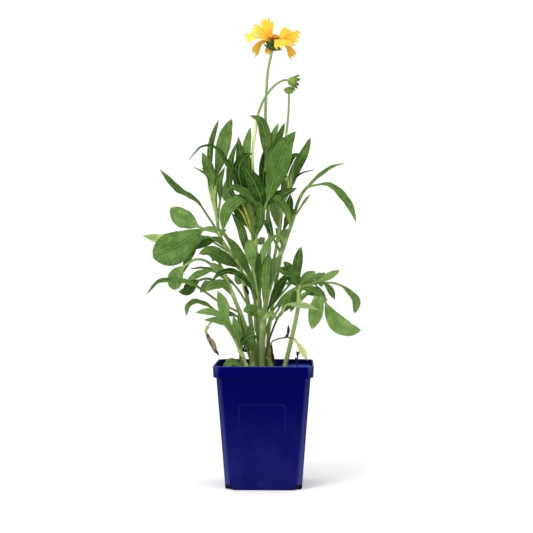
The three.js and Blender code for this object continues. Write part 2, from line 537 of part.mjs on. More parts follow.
// A ray floret: narrow at the heart, broad and toothed at its end, pleated along its length.
function ray([tip, rise, width, looks]) {
  const heart = point(BLOOM.heart);
  const end = heart.clone().add(point(tip));
  const up = point(BLOOM.axis).normalize();
  const out = point(tip).projectOnPlane(up).normalize();
  const foot = heart.clone().addScaledVector(out, 2.5);
  const shoulder = heart.clone().addScaledVector(out, BLOOM.discRadius + 1);
  const middle = shoulder.clone().lerp(end, 0.5).add(new THREE.Vector3(0, 0, rise));
  const line = smoothLine([foot, shoulder, middle, end], 24);
  const columns = RAY_TEETH.length;
  const upper = [];
  const lower = [];
  RAY_ROWS.forEach((row) => {
    const top = [];
    const bottom = [];
    for (let column = 0; column < columns; column += 1) {
      const across = (2 * column) / (columns - 1) - 1;
      const reach = row * (1 - (1 - RAY_TEETH[column]) * row ** 4);
      const { spot, direction } = along(line, reach);
      const side = direction.clone().cross(up.clone().lerp(point(looks).normalize(), row)).normalize();
      const normal = side.clone().cross(direction);
      const spread = 0.24 + 0.76 * Math.min(1, row / 0.85) ** 0.8;
      const pleat = (column % 2 ? RAY_PLEAT : 0) * Math.min(1, 2 * row) - 1.1 * across * across * row;
      const p = spot.addScaledVector(side, (across * width * spread) / 2).addScaledVector(normal, pleat);
      top.push(p.clone().addScaledVector(normal, BLOOM.rayThickness / 2));
      bottom.push(p.clone().addScaledVector(normal, -BLOOM.rayThickness / 2));
    }
    upper.push(top);
    lower.push(bottom);
  });
  return sheet(upper, lower);
}

function bloomRays() {
  const hub = solidOf(new THREE.CylinderGeometry(BLOOM.hubRadius, BLOOM.hubRadius, BLOOM.hubThickness, 16)
    .rotateX(Math.PI / 2));
  return fuse([placed(hub, BLOOM.heart, BLOOM.axis), ...BLOOM.rays.map(ray)]);
}

// The disc: a dome with rings of florets standing out of it.
function bloomDisc() {
  const { discRadius, discHeight, floretRings, floretRadius } = BLOOM;
  const foot = 2.4;
  const dome = turned([[0, foot], [discRadius * 0.7, foot], [discRadius, foot + 1.6],
    [discRadius * 0.75, foot + discHeight * 0.75], [discRadius * 0.35, foot + discHeight], [0, foot + discHeight]], 16);
  const florets = floretRings.flatMap(([radius, count]) => Array.from({ length: count }, (_, index) => {
    const angle = (2 * Math.PI * index) / count;
    const height = foot + discHeight * (1 - (radius / discRadius) ** 2) + 0.6;
    return solidOf(new THREE.ConeGeometry(floretRadius, 2.6, 4).rotateX(Math.PI / 2)
      .translate(radius * Math.cos(angle), radius * Math.sin(angle), height));
  }));
  return placed(fuse([dome, ...florets]), BLOOM.heart, BLOOM.axis);
}

// A narrow bract from a foot to a tip, both [distance from the axis, height], at an angle.
function bract(angle, foot, tip, width) {
  const place = ([radius, z]) => new THREE.Vector3(radius * Math.cos(angle), radius * Math.sin(angle), z);
  const side = new THREE.Vector3(-Math.sin(angle), Math.cos(angle), 0);
  const spine = [0, 0.5, 1].map((part) => place(foot).lerp(place(tip), part));
  const normal = side.clone().cross(place(tip).sub(place(foot)).normalize());
  const halves = [width / 2, width / 2, 0.35];
  const layer = (shift) => spine.map((spot, row) => [-1, 0, 1].map((across) => spot.clone()
    .addScaledVector(side, across * halves[row]).addScaledVector(normal, shift)));
  return sheet(layer(0.4), layer(-0.4));
}

// The green cup under the bloom: inner bracts as a cup, and eight outer bracts that spread.
function bloomCup() {
  const cup = turned([[0, -9.5], [1.8, -9.5], [5.2, -6.4], [7.6, -2.4], [7.2, -1.1], [0, -1.1]], 16);
  const bracts = Array.from({ length: 8 }, (_, index) => {
    const angle = (Math.PI / 4) * (index + 0.5);
    return bract(angle, [3.5, -8], [10.6, index % 2 ? -4.2 : -6.2], 3);
  });
  return placed(fuse([cup, ...bracts]), BLOOM.heart, BLOOM.axis);
}

// A closed bud with its bracts.
function bud({ heart, axis, radius, length, reach, spread }) {
  const half = length / 2;
  const globe = turned([[0, -half], [radius * 0.55, -half * 0.86], [radius * 0.92, -half * 0.35],
    [radius, half * 0.1], [radius * 0.8, half * 0.62], [radius * 0.35, half * 0.95], [0, half]], 10);
  const bracts = Array.from({ length: 8 }, (_, index) => (
    bract((Math.PI / 4) * index, [radius * 0.72, -half * 0.6], [spread, reach - 2], 2.4)));
  return placed(fuse([globe, ...bracts]), heart, axis);
}

// ---------------------------------------------------------------------------------------------
// Pot and soil

// A square with rounded corners at a height, anticlockwise from above.
function squareRing(width, radius, z) {
  const inset = width / 2 - radius;
  const corners = [[1, 1], [-1, 1], [-1, -1], [1, -1]];
  return corners.flatMap(([sx, sy], corner) => Array.from({ length: POT.cornerSteps + 1 }, (_, step) => {
    const angle = (Math.PI / 2) * (corner + step / POT.cornerSteps);
    return new THREE.Vector3(sx * inset + radius * Math.cos(angle), sy * inset + radius * Math.sin(angle), z);
  }));
}

const bandFoot = POT.height - POT.rimHeight;

// Inside width of the pot's body at a height.
function innerWidth(z) {
  const outer = THREE.MathUtils.lerp(POT.baseWidth, POT.bodyTopWidth, z / bandFoot);
  return outer - 2 * POT.wall;
}

function potSolid() {
  const r = POT.cornerRadius;
  const shell = loft([
    squareRing(POT.baseWidth - 2, r - 1, 0),
    squareRing(POT.baseWidth, r, 1),
    squareRing(POT.bodyTopWidth, r, bandFoot),
    squareRing(POT.rimFootWidth, r + 1, bandFoot + 0.4),
    squareRing(POT.rimWidth, r + 1, POT.height - 0.5),
    squareRing(POT.rimWidth - 1, r + 0.7, POT.height),
    squareRing(POT.rimWidth - 2 * POT.rimWall, r, POT.height - 0.3),
    squareRing(POT.rimFootWidth - 2 * POT.rimWall, r, bandFoot + 1.8),
    squareRing(innerWidth(bandFoot), r - 1, bandFoot + 0.6),
    squareRing(innerWidth(POT.floor), r - 1.2, POT.floor),
  ]);
  const drains = [0, 1, 2, 3].map((corner) => solidOf(
    new THREE.BoxGeometry(DRAIN.reach, DRAIN.width, 2 * DRAIN.height)
      .translate((POT.baseWidth / 2 - 2) * Math.SQRT2, 0, 0)
      .rotateZ(Math.PI / 4 + (corner * Math.PI) / 2),
  ));
  return shell.subtract(fuse([...drains, panelCut()]));
}

// The shallow panel pressed into the front wall, square to the wall's slope.
function panelCut() {
  const { width, height, radius, depth, centreX, centreZ } = PANEL;
  const [w, h] = [width / 2, height / 2];
  const outline = new THREE.Shape();
  outline.absarc(w - radius, h - radius, radius, 0, Math.PI / 2);
  outline.absarc(radius - w, h - radius, radius, Math.PI / 2, Math.PI);
  outline.absarc(radius - w, radius - h, radius, Math.PI, 1.5 * Math.PI);
  outline.absarc(w - radius, radius - h, radius, 1.5 * Math.PI, 2 * Math.PI);
  const rise = (POT.bodyTopWidth - POT.baseWidth) / 2;
  const slope = Math.atan(rise / bandFoot);
  const wallY = -(POT.baseWidth / 2 + (rise * centreZ) / bandFoot);
  return solidOf(new THREE.ExtrudeGeometry(outline, { depth: 4, bevelEnabled: false, curveSegments: 5 })
    .translate(0, 0, -depth)
    .rotateX(Math.PI / 2 + slope)
    .translate(centreX, wallY, centreZ));
}

// Soil filling the pot, with a bumpy top and a plain hole for every stem.
function soilSolid(stems) {
  const low = POT.floor + SOIL.clearance;
  const high = SOIL.top + 6;
  const gap = 2 * SOIL.clearance;
  const block = loft([
    squareRing(innerWidth(low) - gap, POT.cornerRadius - 1.5, low),
    squareRing(innerWidth(high) - gap, POT.cornerRadius - 1.5, high),
  ]);
  const size = POT.rimWidth;
  const grid = (level) => Array.from({ length: SOIL.cells + 1 }, (_, row) => (
    Array.from({ length: SOIL.cells + 1 }, (__, column) => {
      const x = size * (column / SOIL.cells - 0.5);
      const y = size * (row / SOIL.cells - 0.5);
      return new THREE.Vector3(x, y, level(x, y));
    })));
  const bumpy = (x, y) => SOIL.top + SOIL.bump * (0.55 * Math.sin(x * 0.31 + 1.7 * Math.sin(y * 0.17))
    + 0.45 * Math.sin(y * 0.43 + 1.3 * Math.cos(x * 0.23)));
  const fill = sheet(grid(bumpy), grid(() => 0));
  const holes = stems.map(({ x, y, radius }) => {
    const wide = (radius + HOLE_CLEARANCE) / Math.cos(Math.PI / SOIL.holeSides);
    return solidOf(new THREE.CylinderGeometry(wide, wide, 40, SOIL.holeSides).rotateX(Math.PI / 2)
      .translate(x, y, STEM_FOOT - 0.5 + 20));
  });
  return block.intersect(fill).subtract(fuse(holes));
}

// ---------------------------------------------------------------------------------------------
// The scene graph

const plant = new THREE.Group();

function addMesh(name, solid, colour, roughness) {
  const { vertProperties, triVerts } = solid.getMesh();
  const geometry = new THREE.BufferGeometry();
  geometry.setAttribute('position', new THREE.BufferAttribute(vertProperties, 3));
  geometry.setIndex(new THREE.BufferAttribute(triVerts, 1));
  geometry.computeVertexNormals();
  const mesh = new THREE.Mesh(geometry, new THREE.MeshStandardMaterial({ color: colour, roughness, metalness: 0 }));
  mesh.name = name;
  plant.add(mesh);
}

const stems = [SHOOTS, OLD_LEAVES, DEAD_STALKS].flatMap((table) => Object.values(table))
  .map(({ path, radii }) => ({ x: path[0][0], y: path[0][1], radius: radii[0] }));

addMesh('pot', potSolid(), COLOURS.pot, 0.4);
addMesh('soil', soilSolid(stems), COLOURS.soil, 0.95);

const carried = { shoot_middle: [bud(BUDS.nodding)], shoot_small_bud: [bud(BUDS.small)], shoot_bloom: [bloomCup()] };
for (const [name, shoot] of Object.entries(SHOOTS)) {
  addMesh(name, shootSolid(shoot, carried[name]), shoot.colour, 0.6);
}
for (const [name, old] of Object.entries(OLD_LEAVES)) {
  addMesh(name, shootSolid(old), old.colour, 0.8);
}
for (const [name, stalk] of Object.entries(DEAD_STALKS)) {
  addMesh(name, bar(stemLine(stalk), stalk.radii, STEM_SIDES), COLOURS.dead, 0.9);
}

addMesh('bloom_rays', bloomRays(), COLOURS.rays, 0.55);
addMesh('bloom_disc', bloomDisc(), COLOURS.disc, 0.8);

export default plant;
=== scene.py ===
"""A coreopsis in its square nursery pot: one open bloom, two buds and eleven leafy stems."""
import math
import random

import bmesh
import bpy
from bpy.props import FloatProperty, FloatVectorProperty
from mathutils import Matrix, Vector, noise


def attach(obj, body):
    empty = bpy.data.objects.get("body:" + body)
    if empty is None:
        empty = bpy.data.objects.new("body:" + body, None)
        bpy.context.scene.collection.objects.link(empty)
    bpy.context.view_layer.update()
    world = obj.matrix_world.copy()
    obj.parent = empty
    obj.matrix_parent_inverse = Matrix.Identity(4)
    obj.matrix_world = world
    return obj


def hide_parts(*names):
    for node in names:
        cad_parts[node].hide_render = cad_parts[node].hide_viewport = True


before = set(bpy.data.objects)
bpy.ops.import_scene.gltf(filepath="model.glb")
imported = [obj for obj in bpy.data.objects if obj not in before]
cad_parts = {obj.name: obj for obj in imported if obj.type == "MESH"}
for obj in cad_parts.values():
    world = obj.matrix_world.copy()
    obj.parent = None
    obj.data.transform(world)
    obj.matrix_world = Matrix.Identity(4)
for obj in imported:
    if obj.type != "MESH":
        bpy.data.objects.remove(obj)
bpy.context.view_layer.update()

bl_info = {
    "name": "Coreopsis in its pot",
    "version": (1, 0, 0),
    "blender": (4, 5, 0),
    "location": "3D View > Sidebar > Coreopsis",
    "description": "Builds a potted coreopsis, piece by piece, round its solid model",
    "category": "Object",
}

MM = 0.001
BODY = "root"
PANEL_X = -1 * MM  # the front panel's middle, left of the pot's


def linear(hex_colour):
    """An sRGB hex colour as linear numbers."""
    parts = [int(hex_colour[i : i + 2], 16) / 255 for i in (1, 3, 5)]
    return tuple(c / 12.92 if c <= 0.04045 else ((c + 0.055) / 1.055) ** 2.4 for c in parts)


# --------------------------------------------------------------------------------------------
# Sizes and colours


def length(name, description, millimetres):
    return FloatProperty(name=name, description=description, default=millimetres * MM, min=0, unit="LENGTH")


def colour(name, description, hex_colour):
    return FloatVectorProperty(
        name=name, description=description, default=linear(hex_colour), min=0, max=1, subtype="COLOR"
    )


class PotSettings(bpy.types.PropertyGroup):
    """The pot and what fills it."""

    height: length("Height", "From the base to the top of the rim", 126)
    rim_width: length("Rim width", "Across the rim's top, outside", 102)
    rim_foot_width: length("Rim foot width", "Across the lower edge of the rim, outside", 101)
    rim_height: length("Rim height", "Height of the rim band", 12)
    rim_wall: length("Rim wall", "Thickness of the rim band", 1.4)
    body_top_width: length("Body top width", "Across the body just under the rim", 95.5)
    base_width: length("Base width", "Across the base", 78)
    wall: length("Wall", "Thickness of the body's walls", 1.2)
    floor: length("Floor", "Thickness of the pot's floor", 2)
    corner: length("Corner radius", "Radius of the upright corners", 9)
    panel_width: length("Panel width", "Width of the shallow panel in the front", 46.5)
    panel_height: length("Panel height", "Height of the shallow panel in the front", 35.5)
    panel_radius: length("Panel corner", "Corner radius of the panel", 4)
    panel_depth: length("Panel depth", "How far the panel is pressed in", 0.5)
    panel_centre: length("Panel height above base", "Height of the panel's centre", 69)
    soil_top: length("Soil level", "Height of the soil above the base", 107)
    plastic: colour("Plastic", "Moulded plastic of the pot", "#010149")
    soil: colour("Soil", "Damp potting compost", "#2b1d13")
    bark: colour("Bark", "Bark chips in the compost", "#5a3b24")
    perlite: colour("Perlite", "White grains in the compost", "#d9d4c8")


class FoliageSettings(bpy.types.PropertyGroup):
    """Stems and leaves."""

    blade: length("Blade thickness", "Thickness of a leaf between its veins", 0.5)
    keel: length("Midrib", "How far the midrib stands out under a leaf", 0.55)
    wave: length("Wave", "Rise and fall of a broad leaf's margins", 0.8)
    deep: colour("Deep green", "Oldest leaves", "#0f2f01")
    middle: colour("Middle green", "Grown leaves", "#466327")
    fresh: colour("Fresh green", "Young leaves", "#6b8849")
    pale: colour("Pale green", "Newest leaves", "#a4ba6e")
    stem_dark: colour("Dark stem", "Shaded stems", "#47662a")
    stem_light: colour("Light stem", "Full grown stems", "#879e5a")
    stem_pale: colour("Pale stem", "Young stems and the joints of leaves", "#d3e688")
    withered: colour("Withered leaf", "Dry leaf tissue", "#83765a")
    yellowed: colour("Yellowed leaf", "Leaf that is dying back", "#a0a860")
    dead: colour("Dead stem", "Blackened dead stems", "#241d18")


class FlowerSettings(bpy.types.PropertyGroup):
    """The open bloom and the buds."""

    ray: length("Ray thickness", "Thickness of a yellow ray", 0.35)
    golden: colour("Ray", "Golden yellow of the rays", "#e9b937")
    lemon: colour("Ray edge", "Lighter yellow of the rays' ends", "#efd94e")
    amber: colour("Ray foot", "Amber of the rays' narrow feet", "#dc9624")
    floret: colour("Disc", "Florets of the disc", "#c97c1e")
    floret_dark: colour("Disc shade", "Between the florets", "#6e3510")
    cup: colour("Cup", "Bracts under the bloom", "#4a6124")
    bud: colour("Bud", "Closed buds", "#9ab84c")


class StageSettings(bpy.types.PropertyGroup):
    """Camera, light and floor."""

    camera_distance: length("Camera distance", "From the pot's axis to the camera", 1294)
    camera_height: length("Camera height", "Above the floor", 226)
    camera_azimuth: FloatProperty(
        name="Camera azimuth", description="How far the camera stands round to the right",
        default=math.radians(1.6), subtype="ANGLE", unit="ROTATION",
    )
    camera_side: length("Camera offset", "Sideways from the pot's axis", 2.1)
    lens: FloatProperty(name="Lens", description="Focal length on a 36 mm sensor", default=83.96, unit="CAMERA")
    key: FloatProperty(name="Key light", description="Power of the main light", default=14, unit="POWER")
    fill: FloatProperty(name="Fill light", description="Power of the right light", default=3, unit="POWER")
    surround: FloatProperty(name="Surround", description="Strength of the light from all sides", default=1.06)
    floor: colour("Floor", "Matt white paper", "#fdfbfa")


def settings(group):
    return getattr(bpy.context.scene, "coreopsis_" + group)


# --------------------------------------------------------------------------------------------
# Materials


def node(material, kind, inputs=None, **properties):
    """Adds a node with its properties, and its inputs as values or as the sockets that feed them.
    Returns its first output that is in use."""
    new = material.node_tree.nodes.new("ShaderNode" + kind)
    for name, value in properties.items():
        setattr(new, name, value)
    for name, value in (inputs or {}).items():
        if isinstance(value, bpy.types.NodeSocket):
            material.node_tree.links.new(value, new.inputs[name])
        else:
            new.inputs[name].default_value = value
    return next((output for output in new.outputs if output.enabled), None)


def paint(value):
    """What a colour socket takes, from a hex colour, three linear numbers or another node's output."""
    if isinstance(value, str):
        value = linear(value)
    return value if isinstance(value, bpy.types.NodeSocket) else (*value, 1)


def object_place(material):
    return node(material, "TexCoord").node.outputs["Object"]


def split(material, vector):
    """A vector's three parts."""
    return node(material, "SeparateXYZ", {0: vector}).node.outputs


def stored(material, name):
    """A vector that the mesh stores at each point."""
    return node(material, "Attribute", attribute_name=name).node.outputs["Vector"]


def maths(material, operation, *values, **properties):
    return node(material, "Math", dict(enumerate(values)), operation=operation, **properties)


def vector_maths(material, operation, *values):
    return node(material, "VectorMath", dict(enumerate(values)), operation=operation)


def product(material, first, *others):
    for other in others:
        first = maths(material, "MULTIPLY", first, other)
    return first


def spread(material, value, start, end, low=0.0, high=1.0, curve="LINEAR"):
    """Takes a value from the range start to end over to the range low to high, and holds it there."""
    return node(material, "MapRange", {0: value, 1: start, 2: end, 3: low, 4: high}, interpolation_type=curve)


def mix(material, share, under, over):
    """Lays a share of one colour over another."""
    return node(material, "Mix", {0: share, 6: paint(under), 7: paint(over)}, data_type="RGBA")


def gradient(material, value, *stops):
    """A colour ramp through stops of (place, colour)."""
    output = node(material, "ValToRGB", {0: value})
    elements = output.node.color_ramp.elements
    while len(elements) < len(stops):
        elements.new(0.5)
    for element, (place, colour_) in zip(elements, stops):
        element.position, element.color = place, paint(colour_)
    return output


def clouds(material, vector, scale, detail, **inputs):
    """Noise with a number of features to the metre."""
    return node(material, "TexNoise", {"Vector": vector, "Scale": scale, "Detail": detail, **inputs})


def stretched(material, vector, scale):
    """A vector scaled by three numbers, for streaks."""
    return node(material, "Mapping", {"Vector": vector, "Scale": scale})


def relief(material, height, strength, distance):
    return node(material, "Bump", {"Height": height, "Strength": strength, "Distance": distance})


def finish(name, **inputs):
    """A new material with its shader. inputs are the shader's constants, by socket name with _ for a
    space."""
    material = bpy.data.materials.new(name)
    material.use_nodes = True
    material.node_tree.nodes.clear()
    surface = node(material, "BsdfPrincipled", {key.replace("_", " "): value for key, value in inputs.items()})
    node(material, "OutputMaterial", {"Surface": surface})
    return material, surface.node


def feed(material, shader, **sockets):
    """Links sockets to the shader and returns the material."""
    for name, socket in sockets.items():
        material.node_tree.links.new(socket, shader.inputs[name.replace("_", " ")])
    return material


def moulded_polypropylene():
    """Polypropylene, injection moulded: a deep even blue with a soft sheen, partly from the shader and partly
    painted highlights, faint drag marks, dust and painted light bounced from the floor that lie mostly along
    the lower part, and a grain too fine to see."""
    pot = settings("pot")
    material, shader = finish("moulded_polypropylene", IOR=1.49, Specular_IOR_Level=0.015)
    place = object_place(material)
    height = split(material, place)["Z"]
    # paler low down: partly dust, partly painted light bounced up from the floor
    low = spread(material, height, 4 * MM, 105 * MM, 1, 0, curve="SMOOTHSTEP")
    dust_and_bounce = product(material, low, clouds(material, place, 40, 5, Roughness=0.6))
    drag = clouds(material, stretched(material, place, (900, 900, 45)), 1, 3)
    blue = mix(material, dust_and_bounce, pot.plastic, "#1e1f62")
    scuff = clouds(material, place, 210, 6, Roughness=0.7)
    blue = mix(material, spread(material, scuff, 0.68, 0.8, 0, 0.35), blue, "#1c2070")
    # painted highlight on the rounded corners, for the bright surroundings they reflect:
    # there x and y together fall short of two half widths
    width, breadth, _ = split(material, vector_maths(material, "ABSOLUTE", place))
    outward = maths(material, "ADD", width, breadth)
    band = pot.height - pot.rim_height
    wall = spread(material, height, 0.0, band, pot.base_width / 2, pot.body_top_width / 2)
    rimmed = maths(material, "GREATER_THAN", height, band)
    step = (pot.rim_width - 1.1 * MM - pot.body_top_width) / 2
    wall = maths(material, "MULTIPLY_ADD", rimmed, step, wall)
    short = maths(material, "MULTIPLY_ADD", wall, -2.0, outward)
    corner = maths(material, "POWER", spread(material, short, -6.9 * MM, -5.3 * MM, 0, 0.38), 1.5)
    blue = mix(material, corner, blue, "#6468a8")
    # light that falls in glows on the far inner wall, right of the middle, and not on the outside
    side, depth, _ = split(material, place)
    glow = product(
        material,
        spread(material, side, 12 * MM, 30 * MM),
        maths(material, "GREATER_THAN", depth, 44 * MM),
        spread(material, depth, 49.6 * MM, 49.9 * MM, 1, 0),
        spread(material, outward, 92.9 * MM, 93.4 * MM, 1, 0),
        spread(material, height, 114.5 * MM, 116 * MM),
        spread(material, height, 118.5 * MM, 121.2 * MM, 0.95, 0),
    )
    blue = mix(material, glow, blue, "#4a70e4")
    # painted highlight along the top edge of the rim
    rim_top_highlight = spread(material, height, pot.height - 0.8 * MM, pot.height - 0.2 * MM, 0, 0.4)
    blue = mix(material, rim_top_highlight, blue, "#6a72bc")
    # painted highlight: the rounded edge of the front panel shows as a fine paler line, stronger towards its
    # top
    flat = vector_maths(material, "MULTIPLY", place, (1, 0, 1))
    flat = vector_maths(material, "SUBTRACT", flat, (PANEL_X, 0, pot.panel_centre))
    flat = vector_maths(material, "ABSOLUTE", flat)
    inner = (pot.panel_width / 2 - pot.panel_radius, 0, pot.panel_height / 2 - pot.panel_radius)
    flat = vector_maths(material, "SUBTRACT", flat, inner)
    flat = vector_maths(material, "MAXIMUM", flat, (0, 0, 0))
    reach = vector_maths(material, "LENGTH", flat).node.outputs["Value"]
    line = product(
        material,
        maths(material, "COMPARE", reach, pot.panel_radius, 0.55 * MM),
        maths(material, "LESS_THAN", depth, -30 * MM),
        spread(material, height, 50 * MM, 88 * MM, 0.01, 0.06),
    )
    # the mark of the mould's gate, low on the front
    gate = vector_maths(material, "DISTANCE", place, (-2.5 * MM, -pot.base_width / 2, 6.5 * MM))
    gate = spread(material, gate.node.outputs["Value"], 0.9 * MM, 1.6 * MM, 0.1, 0)
    base = mix(material, maths(material, "MAXIMUM", line, gate), blue, "#5a62b8")
    rough = spread(material, drag, 0.3, 0.7, 0.36, 0.5)
    grain = clouds(material, place, 1400, 2)
    bump = relief(material, grain, 0.12, 0.2 * MM)
    return feed(material, shader, Base_Color=base, Roughness=rough, Normal=bump)


def damp_compost():
    """Peat and bark compost, damp: almost black between the crumbs and brown on them, without shine, and
    painted near-black shade low down, where it shows through the drain notches."""
    pot = settings("pot")
    material, shader = finish("damp_compost", Specular_IOR_Level=0.25)
    place = object_place(material)
    crumbs = clouds(material, place, 420, 8, Roughness=0.75)
    patches = clouds(material, place, 60, 3)
    brown = gradient(material, crumbs, (0.32, "#0e0906"), (0.5, pot.soil), (0.72, "#4a3322"))
    brown = mix(material, patches, brown, "#1c130c")
    depth = split(material, place)["Z"]
    # painted shade low down, where the compost shows through the drain notches
    notch_shade = spread(material, depth, 10 * MM, 20 * MM, 0.92, 0)
    base = mix(material, notch_shade, brown, "#040308")
    rough = spread(material, patches, 0.3, 0.7, 0.75, 0.95)
    bump = relief(material, crumbs, 0.8, 1.2 * MM)
    return feed(material, shader, Base_Color=base, Roughness=rough, Normal=bump)


def shredded_bark():
    """Pine bark, shredded: reddish brown flakes with fibres along them and grey weathered faces."""
    pot = settings("pot")
    material, shader = finish("shredded_bark", Specular_IOR_Level=0.3, Roughness=0.85)
    place = object_place(material)
    patch = clouds(material, place, 150, 3)
    fibre = clouds(material, place, 1100, 4, Distortion=1.5)
    base = gradient(material, patch, (0.35, "#24160d"), (0.52, pot.bark), (0.68, "#7d6a55"))
    bump = relief(material, fibre, 0.6, 0.4 * MM)
    return feed(material, shader, Base_Color=base, Normal=bump)


def expanded_perlite():
    """Perlite, expanded glass foam: chalky off-white grains with fine pits."""
    material, shader = finish("expanded_perlite", Roughness=0.9, Specular_IOR_Level=0.3)
    place = object_place(material)
    pits = clouds(material, place, 1500, 3)
    base = mix(material, pits, settings("pot").perlite, "#a79f8d")
    bump = relief(material, pits, 0.5, 0.3 * MM)
    return feed(material, shader, Base_Color=base, Normal=bump)


def leaf_tissue(name="living_leaf", tints=None):
    """Living leaf under a thin hairy skin: matt and soft, with a pale midrib, finer side veins every
    few millimetres, an uneven green and a lighter, greyer underside. Light glows through it a little.
    The attribute growth holds a leaf's own tone, its underside and the place along its blade; size
    holds millimetres across and along, and the share of the half width."""
    leaf = settings("foliage")
    deep, middle, fresh, pale = tints or (leaf.deep, leaf.middle, leaf.fresh, leaf.pale)
    material, shader = finish(
        name, IOR=1.42, Specular_IOR_Level=0.08,
        Subsurface_Weight=0.12, Subsurface_Radius=(0.6, 1.0, 0.2), Subsurface_Scale=0.8 * MM)
    tone, under, blade = split(material, stored(material, "growth"))
    across, along, share = split(material, stored(material, "size"))
    place = object_place(material)
    # patches a centimetre wide shift a leaf's green, blotches of 3 mm mottle it
    patch = clouds(material, place, 90, 3)
    blotch = clouds(material, place, 330, 5, Roughness=0.65)
    drift = spread(material, patch, 0.3, 0.7, -0.13, 0.13)
    toned = maths(material, "ADD", tone, drift)
    fleck = spread(material, blotch, 0.35, 0.65, -0.1, 0.1)
    toned = maths(material, "ADD", toned, fleck)
    green = gradient(material, toned, (0.0, deep), (0.36, middle), (0.72, fresh), (1.0, pale))
    # the underside is paler and greyer
    faded = mix(material, 0.42, green, "#75905a")
    green = mix(material, under, green, faded)
    # midrib: a pale line 1 mm wide
    rib = spread(material, across, 0.2, 0.7, 0.3, 0.0, curve="SMOOTHSTEP")
    # side veins leave the midrib every 7 mm and run forward, and one long vein follows each margin
    forward = maths(material, "MULTIPLY_ADD", across, -1.7, along)
    wobble = maths(material, "MULTIPLY_ADD", patch, 5.0, forward)
    stripes = maths(material, "PINGPONG", wobble, 3.5)
    side_vein = spread(material, stripes, 0.1, 0.55, 0.13, 0.0, curve="SMOOTHSTEP")
    off = maths(material, "COMPARE", share, 0.52, 0.035)
    long_vein = maths(material, "MULTIPLY", off, 0.08)
    veins = maths(material, "MAXIMUM", side_vein, long_vein)
    on_blade = spread(material, blade, 0.0, 0.15)
    veins = maths(material, "MULTIPLY", veins, on_blade)
    ribbed = maths(material, "MAXIMUM", veins, rib)
    lit = mix(material, ribbed, green, "#8fae5c")
    # the blade turns down beside the midrib, into a crease with painted shade along it
    beside = maths(material, "COMPARE", across, 0.95, 0.4)
    crease_shade = maths(material, "MULTIPLY", beside, on_blade)
    wide = spread(material, share, 0.06, 0.15, 0.75, 0.25)
    crease_shade = maths(material, "MULTIPLY", crease_shade, wide)
    lit = mix(material, crease_shade, lit, deep)
    # the petiole and the very margin are paler
    stalk = spread(material, blade, -0.02, 0.1, 0.35, 0.0)
    edge = spread(material, share, 0.93, 1, 0, 0.12)
    rim = maths(material, "MAXIMUM", stalk, edge)
    base = mix(material, rim, lit, leaf.stem_light)
    rough = spread(material, blotch, 0.3, 0.7, 0.46, 0.64)
    # quilting between the veins and the fine relief of the skin
    quilt = maths(material, "MULTIPLY_ADD", blotch, 0.5, ribbed)
    bump = relief(material, quilt, 0.85, 0.7 * MM)
    return feed(material, shader, Base_Color=base, Roughness=rough, Normal=bump)


def fleshy_stem(name="fleshy_stem", tints=None):
    """Green stem, fleshy and finely ribbed: streaks of light and dark green along it, pale joints where
    leaves leave it, short white hairs that read as specks, and a soft low gloss."""
    leaf = settings("foliage")
    stem_dark, stem_light, stem_pale = tints or (leaf.stem_dark, leaf.stem_light, leaf.stem_pale)
    material, shader = finish(
        name, IOR=1.42, Specular_IOR_Level=0.2,
        Subsurface_Weight=0.1, Subsurface_Radius=(0.6, 1.0, 0.25), Subsurface_Scale=1 * MM)
    tone, young, joint = split(material, stored(material, "growth"))
    # fine streaks along the stem, some 30 mm long
    streaks = stretched(material, stored(material, "size"), (3.0, 0.03, 1.0))
    streak = clouds(material, streaks, 1, 3)
    place = object_place(material)
    patch = clouds(material, place, 110, 3)
    drift = spread(material, streak, 0.3, 0.7, -0.3, 0.3)
    toned = maths(material, "ADD", tone, drift, use_clamp=True)
    green = mix(material, toned, stem_dark, stem_light)
    pale = maths(material, "MAXIMUM", young, joint)
    green = mix(material, pale, green, stem_pale)
    shade = spread(material, patch, 0.3, 0.7, 0.0, 0.22)
    green = mix(material, shade, green, leaf.middle)
    speck = clouds(material, place, 1300, 1)
    hairy = spread(material, speck, 0.66, 0.74, 0.0, 0.5)
    base = mix(material, hairy, green, "#dbe2c4")
    rough = spread(material, streak, 0.3, 0.7, 0.42, 0.58)
    bump = relief(material, streak, 0.4, 0.3 * MM)
    return feed(material, shader, Base_Color=base, Roughness=rough, Normal=bump)


def ray_petal():
    """Ray floret: thin velvety petal, golden with an amber foot and lemon ends, fine lines along it and
    a duller back. Light passes through it."""
    flower = settings("flower")
    material, shader = finish(
        "ray_petal", IOR=1.4, Roughness=0.55, Specular_IOR_Level=0.15, Sheen_Weight=0.03, Sheen_Roughness=0.5,
        Subsurface_Weight=0.25, Subsurface_Radius=(1.0, 0.75, 0.12), Subsurface_Scale=1 * MM)
    tone, under, along = split(material, stored(material, "growth"))
    lines = stretched(material, stored(material, "size"), (2.4, 0.05, 1.0))
    line = clouds(material, lines, 1, 3)
    shift = spread(material, line, 0.3, 0.7, -0.12, 0.12)
    reach = maths(material, "ADD", along, shift)
    reach = maths(material, "ADD", reach, tone)
    yellow = gradient(material, reach, (0.05, flower.amber), (0.42, flower.golden), (0.8, flower.golden),
                      (1.0, flower.lemon))
    dull = mix(material, 0.4, yellow, "#c18f26")
    base = mix(material, under, yellow, dull)
    bump = relief(material, line, 0.5, 0.4 * MM)
    return feed(material, shader, Base_Color=base, Normal=bump)


